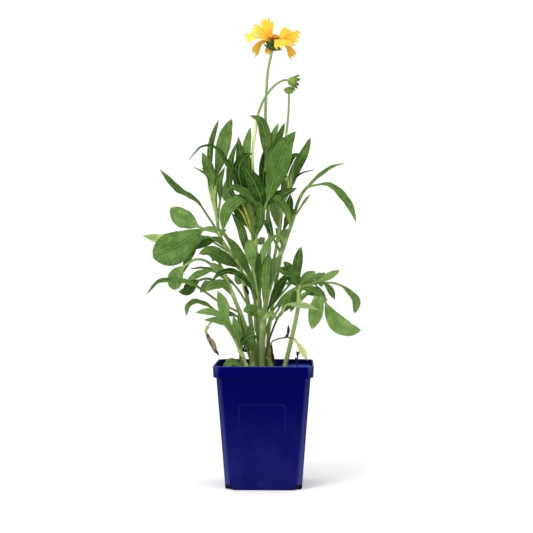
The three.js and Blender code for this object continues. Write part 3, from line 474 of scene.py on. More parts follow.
def disc_floret():
    """Disc florets, tiny tubes packed in a dome: orange, with painted shade in their throats and between
    them, and pollen on them.
    """
    flower = settings("flower")
    material, shader = finish("disc_floret", Roughness=0.7, Specular_IOR_Level=0.25, Sheen_Weight=0.2)
    tip = split(material, stored(material, "growth"))["Z"]
    place = object_place(material)
    pollen = clouds(material, place, 900, 4)
    raised = maths(material, "MULTIPLY_ADD", pollen, 0.35, tip)
    base = gradient(material, raised, (0.15, flower.floret_dark), (0.6, flower.floret), (1.15, flower.golden))
    bump = relief(material, pollen, 0.5, 0.3 * MM)
    return feed(material, shader, Base_Color=base, Normal=bump)


def bract(name, tint, edge):
    """Bracts of the cup and the buds: smooth green scales with veins along them and thin pale edges."""
    material, shader = finish(
        name, IOR=1.42, Roughness=0.5, Specular_IOR_Level=0.15,
        Subsurface_Weight=0.1, Subsurface_Radius=(0.6, 1.0, 0.25), Subsurface_Scale=1 * MM)
    margin, tip, _ = split(material, stored(material, "growth"))
    place = object_place(material)
    patch = clouds(material, place, 520, 4)
    dark = mix(material, patch, tint, settings("foliage").deep)
    rim = spread(material, margin, 0.7, 1, 0, 0.55)
    edged = mix(material, rim, dark, edge)
    base = mix(material, tip, edged, "#33451c")
    bump = relief(material, patch, 0.4, 0.3 * MM)
    return feed(material, shader, Base_Color=base, Normal=bump)


def dry_tissue(name, tint, dark, living=None, rot=0.9):
    """Dead plant tissue, dry and papery: wrinkled, matt and blotched where it has rotted. A blade's foot
    can still have its living colour, and its tip is then black."""
    material, shader = finish(name, Roughness=0.85, Specular_IOR_Level=0.25)
    place = object_place(material)
    blotch = clouds(material, place, 260, 5, Roughness=0.7)
    wrinkle = clouds(material, place, 1100, 4, Distortion=1.2)
    base = gradient(material, blotch, (0.4, dark), (0.52, tint), (0.75, tint))
    if living:
        blade = split(material, stored(material, "growth"))["Z"]
        alive = spread(material, blade, 0.12, 0.3, 1, 0)
        base = mix(material, alive, base, living)
        rotted = spread(material, blade, 0.72, 0.88, 0.0, rot)
        base = mix(material, rotted, base, "#15100c")
    bump = relief(material, wrinkle, 0.7, 0.5 * MM)
    return feed(material, shader, Base_Color=base, Normal=bump)


def matt_paper():
    """White background paper, unglazed: even, without gloss and with a barely visible fibre."""
    material, shader = finish("matt_paper", Roughness=0.95, Specular_IOR_Level=0.1)
    place = object_place(material)
    fibre = clouds(material, place, 300, 3)
    base = mix(material, fibre, settings("stage").floor, "#faf8f7")
    return feed(material, shader, Base_Color=base)


# --------------------------------------------------------------------------------------------
# Modelling by hand: what is selected, extruded and finished


def begin(*objects):
    """Object mode with only these objects selected, the first of them active."""
    if bpy.context.object and bpy.context.object.mode != "OBJECT":
        bpy.ops.object.mode_set(mode="OBJECT")
    bpy.ops.object.select_all(action="DESELECT")
    for piece in objects:
        piece.select_set(True)
        bpy.context.view_layer.objects.active = objects[0]


def pick(kind, wanted):
    """In edit mode, selects only the faces, edges or verts for which wanted is true."""
    bpy.ops.mesh.select_all(action="DESELECT")
    shape = bmesh.from_edit_mesh(bpy.context.object.data)
    for item in getattr(shape, kind):
        if wanted(item):
            item.select_set(True)
    bmesh.update_edit_mesh(bpy.context.object.data)


def edit_all():
    """Edit mode with everything selected."""
    bpy.ops.object.mode_set(mode="EDIT")
    bpy.ops.mesh.select_all(action="SELECT")


def close_up():
    """Turns every face outwards, leaves edit mode and returns the object."""
    bpy.ops.mesh.select_all(action="SELECT")
    bpy.ops.mesh.normals_make_consistent(inside=False)
    bpy.ops.object.mode_set(mode="OBJECT")
    return bpy.context.object


def extrude(height):
    """Extrudes what is selected upwards."""
    bpy.ops.mesh.extrude_region_move(TRANSFORM_OT_translate={"value": (0, 0, height)})


def widen(scale, height=0):
    """Scales what is selected about the axis, at a height."""
    bpy.ops.transform.resize(value=(scale, scale, 1), center_override=(0, 0, height))


def stack(levels):
    """Extrudes the selected face upwards or downwards through levels of (width, height), in metres. The
    first level is where it is."""
    for (width, height), (next_width, next_height) in zip(levels, levels[1:]):
        extrude(next_height - height)
        widen(next_width / width)


def apply_modifier(kind, **properties):
    """Adds a modifier to the active object and applies it."""
    modifier = bpy.context.object.modifiers.new(kind.title(), kind)
    for name, value in properties.items():
        setattr(modifier, name, value)
    bpy.ops.object.modifier_apply(modifier=modifier.name)


def settle(piece, name, slot, *nodes, materials=()):
    """Names a finished piece, applies its place, and lets it ride on the body and stand for its nodes."""
    begin(piece)
    bpy.ops.object.transform_apply()
    piece.name = piece.data.name = name
    for material in materials:
        piece.data.materials.append(material)
    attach(piece, BODY)
    if nodes:
        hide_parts(*nodes)
    return piece


def joined(copies):
    """Joins objects into the first one."""
    begin(*copies)
    bpy.ops.object.join()
    return copies[0]


def copy_of(model, matrix):
    """A copy with its own mesh, moved by a matrix."""
    copy = model.copy()
    copy.data = model.data.copy()
    copy.data.transform(matrix)
    bpy.context.scene.collection.objects.link(copy)
    return copy


def facing(heart, axis):
    """The matrix that turns +Z to an axis and moves the origin to a heart given in millimetres."""
    turn = Vector((0, 0, 1)).rotation_difference(Vector(axis).normalized())
    return Matrix.Translation(Vector(heart) * MM) @ turn.to_matrix().to_4x4()


# --------------------------------------------------------------------------------------------
# Growing: lines, stems and leaves, in millimetres

LEAF, STEM = 0, 1  # material slots of a shoot


def outline(skew, blunt):
    """A leaf's outline: its half width from 0 to 1 at each part of its blade. A higher skew moves the
    widest part towards the tip, and a lower blunt rounds both ends."""
    return lambda part: math.sin(math.pi * part**skew) ** blunt


lance, oval, ovate = outline(1.15, 0.9), outline(1.22, 0.72), outline(0.8, 0.8)
spoon, paddle, round_ = outline(1.35, 0.65), outline(1.55, 0.6), outline(1.3, 0.5)

# Where a leaf's upper side can look.
FRONT = (0, -1, 0.2)
UP = (0, -0.45, 1)
BACK_UP = (0, 0.6, 1)
LEFT = (-1, -0.35, 0.4)
RIGHT = (1, -0.35, 0.4)
TOP = math.inf  # a leaf with this height grows from the end of its stem
# Tones of leaves that aren't green: each is a material slot too.
DYING, BRONZED, ROTTED, WITHERED = 2, 3, 4, 5

STEM_FOOT = 88  # how high a stem starts, down in the soil
SOIL_TOP = 111  # above this height a stem follows its path
STEM_STEP = 2.5  # from ring to ring of a stem
CURVE_STEPS = 24  # straight parts of a curve from one of its points to the next
LEAF_STEPS, RAY_STEPS = 60, 48  # straight parts of a leaf's line and of a ray's
FOLD = 0.28  # how far a leaf's margins rise, as a share of its half width
WIDE, WIDE_FOLD = 20, -0.14  # a leaf this wide is arched, so that its margins drop
FULL_TURN = 2 * math.pi

# Each shoot has the path of its stem, its radius at foot and top, its stem's tone from 0, dark, to 1,
# light, the heights between which it is young and pale, and its leaves. A leaf is its node's height on
# the stem, the part of its length that is petiole, its width, its outline, where its upper side looks,
# its tone from 0, deep, to 1, pale, and the points of its midrib after the node.
SHOOTS = {
    "shoot_middle": {
        "path": [(-3, 0, 121), (-3, 0, 160), (-5, 0, 183), (-8, 0, 212), (-9, -1, 243), (-10, -2, 269),
                 (-12, -4, 325), (-12, -4, 347), (-9, -4, 368), (-7, -4, 382), (-2.6, -3, 395), (3.6, -2, 406),
                 (11, -1, 414.5), (19, 0, 419.5), (25.5, 0, 420)],
        "radii": (2.9, 1), "tone": 0.6, "young": (322, 388),
        "leaves": [
            (259, 0.3, 23, lance, FRONT, 0.36, (3, -12, 293), (9, -16, 312), (16, -18, 335), (21.5, -17, 350),
             (32.5, -15, 365)),
            (306, 0.1, 9, oval, FRONT, 0.55, (-18, -8, 328), (-18.5, -8, 347), (-14.5, -7, 370)),
            (284, 0.2, 10, lance, FRONT, 0.25, (-22, -10, 318), (-25, -9, 344), (-27, -6, 361)),
            (276, 0.2, 8, lance, (-0.5, -1, 0.2), 0.2, (-33, -11, 302), (-35, -13, 325), (-32.5, -13, 341),
             (-28, -12, 355)),
            (270, 0.25, 7, lance, UP, 0.12, (-28, -16, 312), (-39.5, -18, 334), (-47, -18, 345.5),
             (-57, -18, 350), (-66, -17.5, 348), (-77.5, -16, 336)),
            (280, 0.15, 14, lance, (-0.3, -1, 0.2), 0.06, (-23, -12, 308), (-26, -14, 326), (-21, -14, 338),
             (-12, -13, 343)),
            (280, 0.1, 11, lance, (0, -0.9, 0.6), 0.28, (-5, -12, 289), (-14, -17, 298), (-26, -21, 305),
             (-33, -22, 307), (-39, -22, 302)),
            (278, 0.15, 14, lance, (-0.2, -1, 0.35), 0.36, (-17, -15, 295), (-28, -22, 293), (-38, -26, 282),
             (-42, -28, 262)),
            (276, 0.1, 17, oval, (0.2, -1, 0.2), 0.06, (-3, -11, 291), (-8, -15, 308), (-20, -15, 329)),
            (280, 0.1, 11, lance, (0, -1, 0.6), 0.15, (7, -9, 295), (20, -11, 301), (34, -12, 307)),
            (282, 0.1, 9, lance, (0.3, -1, 0.3), 0.25, (8, -11, 297), (18, -15, 291), (25, -18, 279),
             (28, -19, 266)),
            (254, 0.25, 14, lance, (-0.3, -1, 0.4), 0.14, (-18, -10, 270), (-25, -16, 285), (-30, -18, 301)),
            (254, 0.1, 9, lance, FRONT, 0.45, (-5, -6, 269), (-1, -9, 288)),
            (250, 0.1, 7, lance, FRONT, 0.6, (-13, -8, 272), (-17, -12, 290), (-19, -13, 301)),
            (252, 0.2, 2.1, lance, FRONT, DYING, (-15, -16, 270), (-19, -21, 283), (-24, -23, 293)),
            (252, 0.2, 1.7, lance, FRONT, DYING, (-17, -15, 268), (-22, -21, 280), (-30, -24, 288)),
            (226, 0.1, 9, lance, (-0.2, -1, 0.3), 0.28, (-17, -6, 240), (-21, -9, 255), (-25, -10, 268),
             (-34, -11, 282)),
            (176, 0.6, 12, spoon, FRONT, 0.62, (-7, -8, 200), (-11, -12, 222), (-14, -15, 241),
             (-16, -16, 254)),
            (148, 0.6, 11, oval, (0, -1, 0.4), 0.35, (-9, -5, 160), (-9.5, -10, 174), (-13, -14, 181.5),
             (-21.5, -16, 180.5)),
            (146, 0.6, 6, lance, FRONT, 0.3, (-15, 1, 159), (-26, 2, 172), (-38, 1, 177), (-50, -3, 176)),
            (170, 0.6, 6, lance, UP, 0.5, (-17, 0, 185), (-28, 4, 202), (-38, 8, 212), (-50, 14, 221)),
            (190, 0.15, 9, lance, (0, -0.8, 0.8), 0.06, (-18, -9, 209), (-26, -16, 217.5), (-36, -20, 221),
             (-46, -23, 218), (-53.5, -25, 211)),
            (188, 0.2, 9, lance, FRONT, 0.5, (-4, -3, 208), (-2, -3, 226), (-4, -4, 243)),
            (196, 0.15, 10, lance, (0, -0.8, 0.7), 0.35, (-18, -6, 223), (-26, -10, 239), (-34, -12, 251),
             (-43, -13, 259)),
            (296, 0.15, 13, lance, (-0.3, -1, 0.2), 0.04, (-17, 8, 320), (-20, 14, 350)),
            (180, 0.3, 10, lance, FRONT, 0.25, (-5, -6, 197), (-4.5, -7, 218), (-6, -6, 241)),
            (258, 0.15, 9, lance, (0.2, -1, 0.2), 0.3, (-4, -10, 275), (-4, -12, 294)),
        ],
    },
    "shoot_bloom": {
        "path": [(-1.5, 7, 121), (-0.8, 7, 159), (1.6, 6.5, 193), (5.2, 5, 253), (4, 4, 279), (2.6, 3, 354),
                 (1, 3, 382), (2, 2.5, 410), (3.6, 1.5, 430), (7, 0.2, 446), (8, 0, 452)],
        "radii": (2.3, 1.2), "tone": 0.75,
        "leaves": [
            (322, 0.1, 12, lance, (0, -1, 0.4), 0.24, (3, -3, 342), (1, -7, 362), (-4, -8, 377),
             (-15, -8, 382.5)),
            (286, 0.15, 11, lance, FRONT, 0.04, (-1, -2, 312), (1, -1, 336), (8, 0, 361)),
            (306, 0.3, 8, oval, FRONT, 0.45, (1, -2, 328), (8, -5, 357), (14.5, -5, 374.5)),
            (300, 0.3, 10, oval, (0.8, -0.8, 0.3), 0.3, (4, -3, 322), (12, -4, 352), (21, -2, 375)),
            (246, 0.2, 10, lance, BACK_UP, 0.3, (5, 18, 259), (0, 34, 273), (-6, 46, 279)),
        ],
    },
    "shoot_small_bud": {
        "path": [(-2, 14, 121), (-1, 14, 160), (4, 12.5, 201), (14, 10, 259), (19, 10, 316), (22.5, 11, 364),
                 (23.5, 11, 373), (25, 12, 390), (25.4, 12, 408.5)],
        "radii": (2.2, 1), "tone": 0.7, "young": (350, 372),
        "leaves": [
            (262, 0.3, 11, oval, (0.3, -1, 0.2), 0.36, (18, 12, 285), (24, 14, 306), (32, 16, 328),
             (41.5, 17, 346), (48, 18, 362)),
            (290, 0.3, 9, oval, (0, -1, 0.6), 0.2, (19, 6, 317), (24, 4, 333), (30, 3, 341), (38, 3, 343.5)),
            (290, 0.3, 4, lance, UP, 0.05, (25, 12, 313), (33, 14, 320), (41, 15, 325), (52, 16, 328)),
            (286, 0.1, 4.5, lance, FRONT, 0.78, (20, 4, 300), (21, 1, 321)),
            (286, 0.1, 4, lance, (0.4, -1, 0.2), 0.6, (21.5, 5, 302), (26.5, 3, 323)),
            (287, 0.1, 3.4, lance, FRONT, 1, (24, 1, 304), (22.6, -3, 327)),
            (287, 0.1, 3.6, lance, (-0.3, -1, 0.2), 0.75, (25, 2, 303), (30.5, -1, 334)),
            (289, 0.1, 3.2, lance, FRONT, 0.9, (26.5, 1, 306), (27, -4, 322)),
            (289, 0.1, 3, lance, (0.3, -1, 0), 1, (24.5, -1, 306), (24.5, -5, 318)),
            (288, 0.15, 7, lance, FRONT, 0.35, (24, 6, 305), (31, 6, 322)),
            (176, 0.1, 10, lance, FRONT, 0.2, (8, 8, 190), (16, 5, 206), (26, 3, 221)),
            (150, 0.5, 7, lance, FRONT, 0.6, (8, 7, 178), (15, 2, 187), (24, -3, 196), (33, -5, 205)),
            (165, 0.2, 9, lance, FRONT, 0.2, (0, 11.5, 195), (2, 11, 220), (4, 11, 244)),
            (250, 0.2, 11, lance, BACK_UP, 0.3, (22, 28, 268), (27, 46, 284), (26, 60, 292)),
        ],
    },
    "shoot_right_tall": {
        "path": [(-2, -7, 121), (-2.5, -7, 160), (2, -7, 190), (8, -7, 212), (11, -7, 222), (14, -7, 233),
                 (19, -7, 243), (22.3, -6.5, 253.5), (27.8, -5, 269), (31.5, -3, 281), (35, -1, 293),
                 (41, 1, 304.5), (48.5, 3, 312)],
        "radii": (2.9, 1.5), "tone": (0.75, 0.05),
        "leaves": [
            (299, 0.1, 7, lance, (0, -0.5, 1), 0.42, (49, 4, 313), (63, 6, 325), (74, 8, 331.5),
             (83.5, 10, 334)),
            (309, 0.1, 9.5, lance, (0.2, -1, 0.7), 0.4, (63, -2, 311.5), (71, -4, 308.5), (78, -6, 302),
             (84.5, -7, 294), (90, -8, 285), (95, -10, 272)),
            (276, 0.2, 5, lance, UP, 0.5, (40, -8, 290), (47, -9, 300.5)),
            (268, 0.2, 8, lance, FRONT, 0.12, (26, -7, 284), (27, -6, 301)),
            (252, 0.15, 8, lance, (-0.3, -1, 0.5), 0.6, (15, -12, 257.5), (8, -15, 254.5), (2, -16, 246),
             (-1, -16, 236), (-2.5, -15, 228)),
            (240, 0.3, 6, lance, FRONT, 0.06, (10, -11, 254), (5.5, -13, 268), (2.5, -14, 284)),
            (200, 0.2, 7, lance, FRONT, 0.5, (6, -13, 216), (6.5, -15, 237)),
            (164, 0.3, 9, oval, FRONT, 0.5, (1, -13, 195), (2, -15, 218), (4, -15, 240)),
        ],
    },
    "shoot_right_low": {
        "path": [(21, -14, 121), (26.5, -15, 144), (32, -16, 168), (35, -16, 183), (36, -16, 195),
                 (35, -15, 209)],
        "radii": (2.5, 1.9), "tone": 1.0,
        "leaves": [
            (198, 0.44, 18, oval, (-0.1, -0.9, 0.5), 0.6, (40, -19, 204.5), (48, -23, 206), (55.5, -28, 200.5),
             (62.3, -33, 190.5), (67.5, -38, 178.5), (74.7, -44, 168.5), (84.7, -50, 162.7),
             (97.5, -55, 162.5)),
            (194, 0.35, 15, oval, FRONT, 0.68, (47, -27, 201), (55, -36, 196), (53, -40, 180), (49, -42, 163)),
            (204, 0.55, 9, spoon, (0, -0.8, 0.8), 0.5, (52, -6, 208), (68, -2, 209), (79.5, 0, 206),
             (89.2, 1, 198), (95.5, 0, 189), (93.5, -2, 177.5)),
            (206, 0.4, 8, spoon, (0, -1, 0.5), 0.66, (48, -12, 208), (63, -14, 214), (77.5, -15, 222)),
            (207, 0.1, 9, lance, (0, -1, 0.5), 0.65, (44, -6, 213), (57, -2, 218)),
            (205, 0.05, 10, oval, FRONT, 0.3, (34, -19, 222), (35.5, -24, 234), (38, -28, 246)),
            (205, 0.05, 14, ovate, (-0.2, -1, 0.3), 0.22, (30, -21, 216), (25, -25, 226), (20, -27, 231)),
            (202, 0.1, 13, lance, (0, -0.8, 0.6), 0.2, (29, -26, 217), (21, -30, 221), (12, -32, 224)),
            (205, 0.1, 9, lance, (0, -1, 0.6), 0.6, (44, -15, 216), (53, -16, 221)),
            (200, 0.1, 8, lance, (0, -1, 0.5), 0.25, (42, -24, 203.5), (50, -33, 202), (59, -39, 196.5)),
            (205, 0.1, 9, lance, (0.2, -1, 0.1), 0.4, (33, -11, 201), (30, -10, 191), (27.5, -9, 179)),
            (205, 0.55, 7, lance, (0, -1, 0.3), 0.25, (48, -10, 210), (60, -9, 209), (67, -9, 203.5),
             (73, -9, 192)),
            (200, 0.25, 15, lance, BACK_UP, 0.4, (46, 4, 212), (56, 24, 216), (60, 44, 204)),
            (190, 0.25, 13, lance, RIGHT, 0.35, (46, 0, 198), (57, 14, 198), (66, 30, 190)),
        ],
    },
    "shoot_left_low": {
        "path": [(-12, -8, 121), (-14.5, -9, 138), (-19, -10, 162), (-26, -11, 181), (-32, -12, 196),
                 (-37.5, -12, 210), (-43, -12, 223), (-47, -12, 230)],
        "radii": (2.8, 1.6), "tone": 0.6,
        "leaves": [
            (221, 0.64, 16, round_, (0.1, -1, 0.2), 0.55, (-54, -12, 227.5), (-60, -15, 231.5),
             (-68, -18, 233.5), (-76, -20, 230.5), (-84, -22, 224), (-90.5, -23, 215), (-91.5, -24, 202)),
            (216, 0.15, 8, lance, (0, -1, 0.4), 0.7, (-49, -15, 224), (-56.5, -18, 229.5)),
            (124, 0.15, 6, lance, FRONT, 0.35, (-19, -15, 145), (-24, -18, 165), (-26.5, -20, 182)),
            (122, 0.15, 7, lance, FRONT, 0.4, (-14, -12, 145), (-15, -14, 168)),
            (112, 0.05, 7, lance, FRONT, WITHERED, (-19, -14, 122), (-22.5, -15, 132), (-24, -15, 143)),
            (138, 0.05, 3, lance, FRONT, ROTTED, (-21, -16, 140), (-19.6, -16.5, 145)),
            (178, 0.3, 9, lance, (0, -0.7, 1), 0.35, (-44, -17, 188), (-60, -28, 200), (-78, -38, 210),
             (-104, -42, 211), (-118, -42, 198)),
            (205, 0.55, 12, lance, (0.3, -1, 0.3), 0.18, (-53, -4, 212), (-63, -5, 213), (-73, -6, 208.5),
             (-81, -7, 200.5), (-89, -8, 200)),
            (211, 0.3, 8, lance, (0, -1, 0.5), 0.5, (-53, -13, 221.5), (-63, -16, 219.5), (-72, -18, 215.5),
             (-80, -20, 210.5)),
            (218, 0.3, 5, lance, UP, 0.4, (-56, -8, 224), (-77, -6, 224)),
            (198, 0.1, 11, lance, (0, -1, 0.5), 0.45, (-41, -17, 207.5), (-51, -22, 206.5), (-61, -27, 201)),
            (196, 0.2, 14, lance, BACK_UP, 0.35, (-46, 4, 206), (-58, 20, 208), (-70, 34, 198)),
        ],
    },
    "shoot_left_tall": {
        "path": [(-8, 6, 121), (-13.5, 7, 160), (-20, 9, 201), (-27.5, 10, 229), (-38, 11, 243),
                 (-47.5, 11, 258), (-50.5, 11, 280), (-55, 12, 297), (-57.5, 12, 314)],
        "radii": (2.9, 1.5), "tone": 0.8,
        "leaves": [
            (284, 0.35, 15, oval, FRONT, 0.42, (-50.5, 6, 318), (-46.5, 5, 337), (-43, 4, 352.5),
             (-39.5, 4, 367), (-34.2, 3, 380)),
            (300, 0.3, 6, oval, (0.5, -1, 0.2), 0.4, (-57, 10, 347), (-54.5, 10, 363), (-48.5, 10, 380)),
            (310, 0.2, 5, lance, FRONT, 0.45, (-58, 8, 338), (-58, 8, 361)),
            (296, 0.25, 12, lance, (-0.4, -1, 0.2), 0.42, (-55, 3, 320), (-65, 1, 345)),
            (296, 0.2, 6, lance, UP, 0.45, (-60, 6, 320), (-74, 4, 330)),
            (302, 0.2, 5, lance, LEFT, 0.45, (-60, 16, 320), (-67, 18, 331)),
            (282, 0.1, 5, lance, FRONT, 0.9, (-53, 7, 300), (-51, 6, 322), (-50, 6, 336)),
            (288, 0.1, 5, lance, FRONT, 0.95, (-57, 8, 308), (-58, 6, 328)),
            (275, 0.3, 7, lance, FRONT, 0.25, (-46.5, 4, 297), (-47, 3, 315), (-41.5, 2, 330)),
            (260, 0.3, 10, lance, (0, -0.6, 1), 0.3, (-61, 12, 280), (-71, 14, 294), (-80, 16, 300),
             (-94, 20, 308.5), (-112, 24, 329.5)),
            (262, 0.35, 21, spoon, (0, -1, 0.3), 0.6, (-66, 20, 266), (-86, 34, 276.5), (-102.5, 46, 289.5)),
            (232, 0.5, 34, paddle, (0, -1, 0.1), 0.5, (-41, -2, 259), (-54, -12, 266), (-66, -18, 262),
             (-87, -24, 248), (-113, -28, 235)),
            (254, 0.4, 12, lance, (0, -0.9, 0.6), 0.86, (-80, 22, 258), (-108, 28, 255), (-131, 32, 259)),
            (248, 0.3, 11, lance, (-0.5, -1, 0.1), 0.4, (-59, 2, 257), (-70, 0, 252), (-77, -3, 240),
             (-84.5, -6, 219)),
            (250, 0.15, 9, lance, (0, -1, 0.5), 0.28, (-47, 8, 255.5), (-58, 5, 252.5), (-73, 1, 244)),
            (224, 0.05, 15, oval, (0, -1, 0.4), 0.28, (-36, -4, 231), (-46, -16, 236.5), (-56, -24, 241.5),
             (-66, -28, 239)),
            (240, 0.2, 18, spoon, BACK_UP, 0.4, (-56, 28, 252), (-72, 46, 256), (-84, 60, 246)),
            (252, 0.2, 14, lance, BACK_UP, 0.35, (-49, 32, 264), (-50, 54, 264)),
            (206, 0.05, 2.6, lance, FRONT, ROTTED, (-20, 4, 204), (-19, 3, 199)),
            (203, 0.05, 3.2, lance, FRONT, ROTTED, (-18, 4, 200), (-16.5, 3, 196)),
        ],
    },
    "shoot_left_young": {
        "path": [(-17, -19, 121), (-25, -20, 141), (-32, -21, 159), (-38, -22, 176)],
        "radii": (2.1, 1.5), "tone": 0.95,
        "leaves": [
            (164, 0.12, 12, lance, FRONT, 0.7, (-39, -25, 176), (-41.5, -29, 188), (-46.5, -32, 201)),
            (170, 0.25, 8.5, lance, (0, -0.7, 1), 0.3, (-51, -26, 182), (-60.5, -29, 188), (-70.5, -33, 190),
             (-77, -35, 185), (-78, -37, 176)),
            (166, 0.15, 8, lance, (0, -1, 0.5), 0.65, (-46, -28, 177), (-56, -33, 180), (-68.5, -40, 179.5)),
            (150, 0.2, 9, lance, (0, -0.8, 0.7), 0.6, (-36, -26, 165), (-46, -31, 170.5), (-60.5, -34, 172)),
            (140, 0.2, 9, lance, (0.3, -0.8, 0.6), 0.2, (-19, -26, 152), (-10, -29, 157)),
            (136, 0.1, 9, lance, FRONT, 0.5, (-26, -25, 156), (-31, -29, 176)),
            (124, 0.2, 9, lance, (0, -1, 0.8), 0.35, (-22, -27, 123), (-32, -32, 129), (-43, -34, 120)),
        ],
    },
    "shoot_rear_left": {
        "path": [(-6, 21, 121), (-8, 22, 160), (-12, 27, 205), (-14, 33, 240), (-13, 36, 268)],
        "radii": (2.4, 1.5), "tone": 0.6,
        "leaves": [
            (186, 0.25, 17, spoon, BACK_UP, 0.4, (-18, 46, 208), (-26, 66, 214), (-32, 82, 206)),
            (208, 0.25, 18, spoon, BACK_UP, 0.45, (-34, 46, 228), (-48, 66, 240), (-60, 80, 232)),
            (224, 0.25, 18, spoon, BACK_UP, 0.35, (-16, 50, 246), (-10, 68, 254), (-6, 84, 250)),
            (252, 0.2, 16, lance, BACK_UP, 0.4, (-16, 54, 282), (-20, 72, 294), (-24, 86, 292)),
            (262, 0.15, 14, lance, (0, 0.9, 0.3), 0.5, (-13, 42, 296), (-14, 48, 330)),
            (266, 0.15, 11, lance, (-0.4, 0.8, 0.3), 0.55, (-27, 42, 290), (-42, 45, 303), (-40, 50, 325)),
        ],
    },
    "shoot_rear_right": {
        "path": [(3, 21, 121), (4, 24, 160), (11, 29, 205), (17, 34, 240), (19, 36, 260)],
        "radii": (2.3, 1.5), "tone": 0.6,
        "leaves": [
            (166, 0.25, 15, lance, BACK_UP, 0.4, (18, 44, 186), (28, 60, 192), (36, 74, 184)),
            (186, 0.25, 16, spoon, BACK_UP, 0.45, (26, 44, 206), (36, 62, 210), (44, 78, 202)),
            (206, 0.25, 18, spoon, BACK_UP, 0.35, (8, 52, 226), (4, 70, 234), (0, 87, 230)),
            (200, 0.25, 15, lance, (0.5, 0.4, 1), 0.5, (30, 40, 212), (44, 48, 213), (57, 54, 203)),
            (236, 0.25, 16, lance, BACK_UP, 0.4, (18, 56, 258), (16, 72, 266), (12, 86, 264)),
            (252, 0.15, 14, lance, (0, 0.9, 0.3), 0.5, (12, 44, 284), (8, 50, 317)),
        ],
    },
    "shoot_bronze": {
        "path": [(2, -16, 121), (1.5, -17, 136), (7.5, -19, 157), (14, -21, 173), (18, -22, 178)],
        "radii": (1.3, 1), "tone": 0.1,
        "leaves": [
            (176, 0.1, 9, lance, FRONT, 0.35, (23, -23, 186), (27, -24, 196)),
            (TOP, 0.15, 7, lance, (0, -1, 0.6), BRONZED, (24, -27, 187), (34, -35, 187), (45, -46, 186),
             (55.5, -50, 182.5)),
            (172, 0.15, 7, lance, (0, -1, 0.8), 0.75, (8, -24, 178), (-1, -26, 172)),
            (130, 0.1, 4, lance, FRONT, 0.4, (4, -24, 133), (8, -27, 125), (11, -28, 116)),
        ],
    },
}

# Leaves that died or are dying: each has its own petiole from the soil.
OLD_LEAVES = {
    "withered_leaf": {
        "path": [(-21, -11, 121), (-26, -12, 141), (-32, -14, 153), (-38.5, -17, 163.5), (-46, -22, 172),
                 (-53, -26, 169.5), (-57, -28, 165)],
        "radii": (1.1, 0.8),
        "leaves": [
            (TOP, 0.02, 6, lance, (0.3, -1, 0.3), 0.5, (-59, -29, 160), (-56.5, -31, 154), (-51.5, -32, 146),
             (-46, -33, 135)),
        ],
    },
    "yellow_leaf": {
        "path": [(7.5, -22, 121), (7, -24, 146), (14, -27, 152), (25, -29, 153.8), (31, -31, 152.5)],
        "radii": (0.9, 0.7),
        "leaves": [
            (TOP, 0.05, 7, lance, (0.5, -0.9, 0.4), 0.8, (37.5, -33, 143), (44.5, -35, 131)),
            (153.7, 0.05, 3, lance, FRONT, ROTTED, (25, -29.5, 159), (25.3, -30, 166.5)),
        ],
    },
}

# Dead stalks with the scraps of their leaves.
DEAD_STALKS = {
    "dead_stalk": {
        "path": [(10, -11, 121), (9, -11, 130), (6.5, -11.5, 147)],
        "radii": (1.8, 1.5),
        "scraps": [
            (118, 0.05, 4, lance, FRONT, 0, (7, -12, 126), (5.5, -13, 134)),
        ],
    },
    "dead_twig": {
        "path": [(34, -19, 121), (34.5, -19, 134), (38, -19, 142)],
        "radii": (0.9, 0.7),
        "scraps": [
            (129, 0.05, 2, lance, FRONT, 0, (33, -20, 131), (32, -20, 133)),
            (136, 0.05, 1.8, lance, FRONT, 0, (34, -20, 138), (33, -20, 139)),
        ],
    },
}


def smooth_line(points, steps):
    """Evenly spaced points on the smooth curve through the points."""
    knots = [Vector(p) for p in points]
    knots = [2 * knots[0] - knots[1], *knots, 2 * knots[-1] - knots[-2]]
    fine = []
    for a, b, c, d in zip(knots, knots[1:], knots[2:], knots[3:]):
        for step in range(CURVE_STEPS):
            t = step / CURVE_STEPS
            fine.append(0.5 * (2 * b + (c - a) * t + (2 * a - 5 * b + 4 * c - d) * t**2
                               + (3 * b - a - 3 * c + d) * t**3))
    fine.append(knots[-2])
    reach = [0.0]
    for a, b in zip(fine, fine[1:]):
        reach.append(reach[-1] + (b - a).length)
    line, index = [], 0
    for step in range(steps + 1):
        wanted = reach[-1] * step / steps
        while index < len(fine) - 2 and reach[index + 1] < wanted:
            index += 1
        part = (wanted - reach[index]) / max(reach[index + 1] - reach[index], 1e-9)
        line.append(fine[index].lerp(fine[index + 1], min(part, 1)))
    return line


def clamp(value):
    return min(max(value, 0), 1)


def line_length(line):
    return sum((b - a).length for a, b in zip(line, line[1:]))


def along(line, part):
    """The point that lies a part of the way along a line, and the line's direction there."""
    place = clamp(part) * (len(line) - 1)
    index = min(int(place), len(line) - 2)
    spot = line[index].lerp(line[index + 1], place - index)
    before, after = line[max(index - 1, 0)], line[min(index + 2, len(line) - 1)]
    return spot, (after - before).normalized()


def at_height(line, height):
    """The first point of a rising line that reaches a height, or its last."""
    for low, high in zip(line, line[1:]):
        if high.z >= height:
            return low.lerp(high, (height - low.z) / (high.z - low.z))
    return line[-1]


def stem_line(path):
    """A stem's line, which rises through the soil to the path."""
    x, y, _ = path[0]
    rough = [(x, y, STEM_FOOT), (x, y, SOIL_TOP), *path]
    return smooth_line(rough, max(12, int(line_length([Vector(p) for p in rough]) / STEM_STEP)))


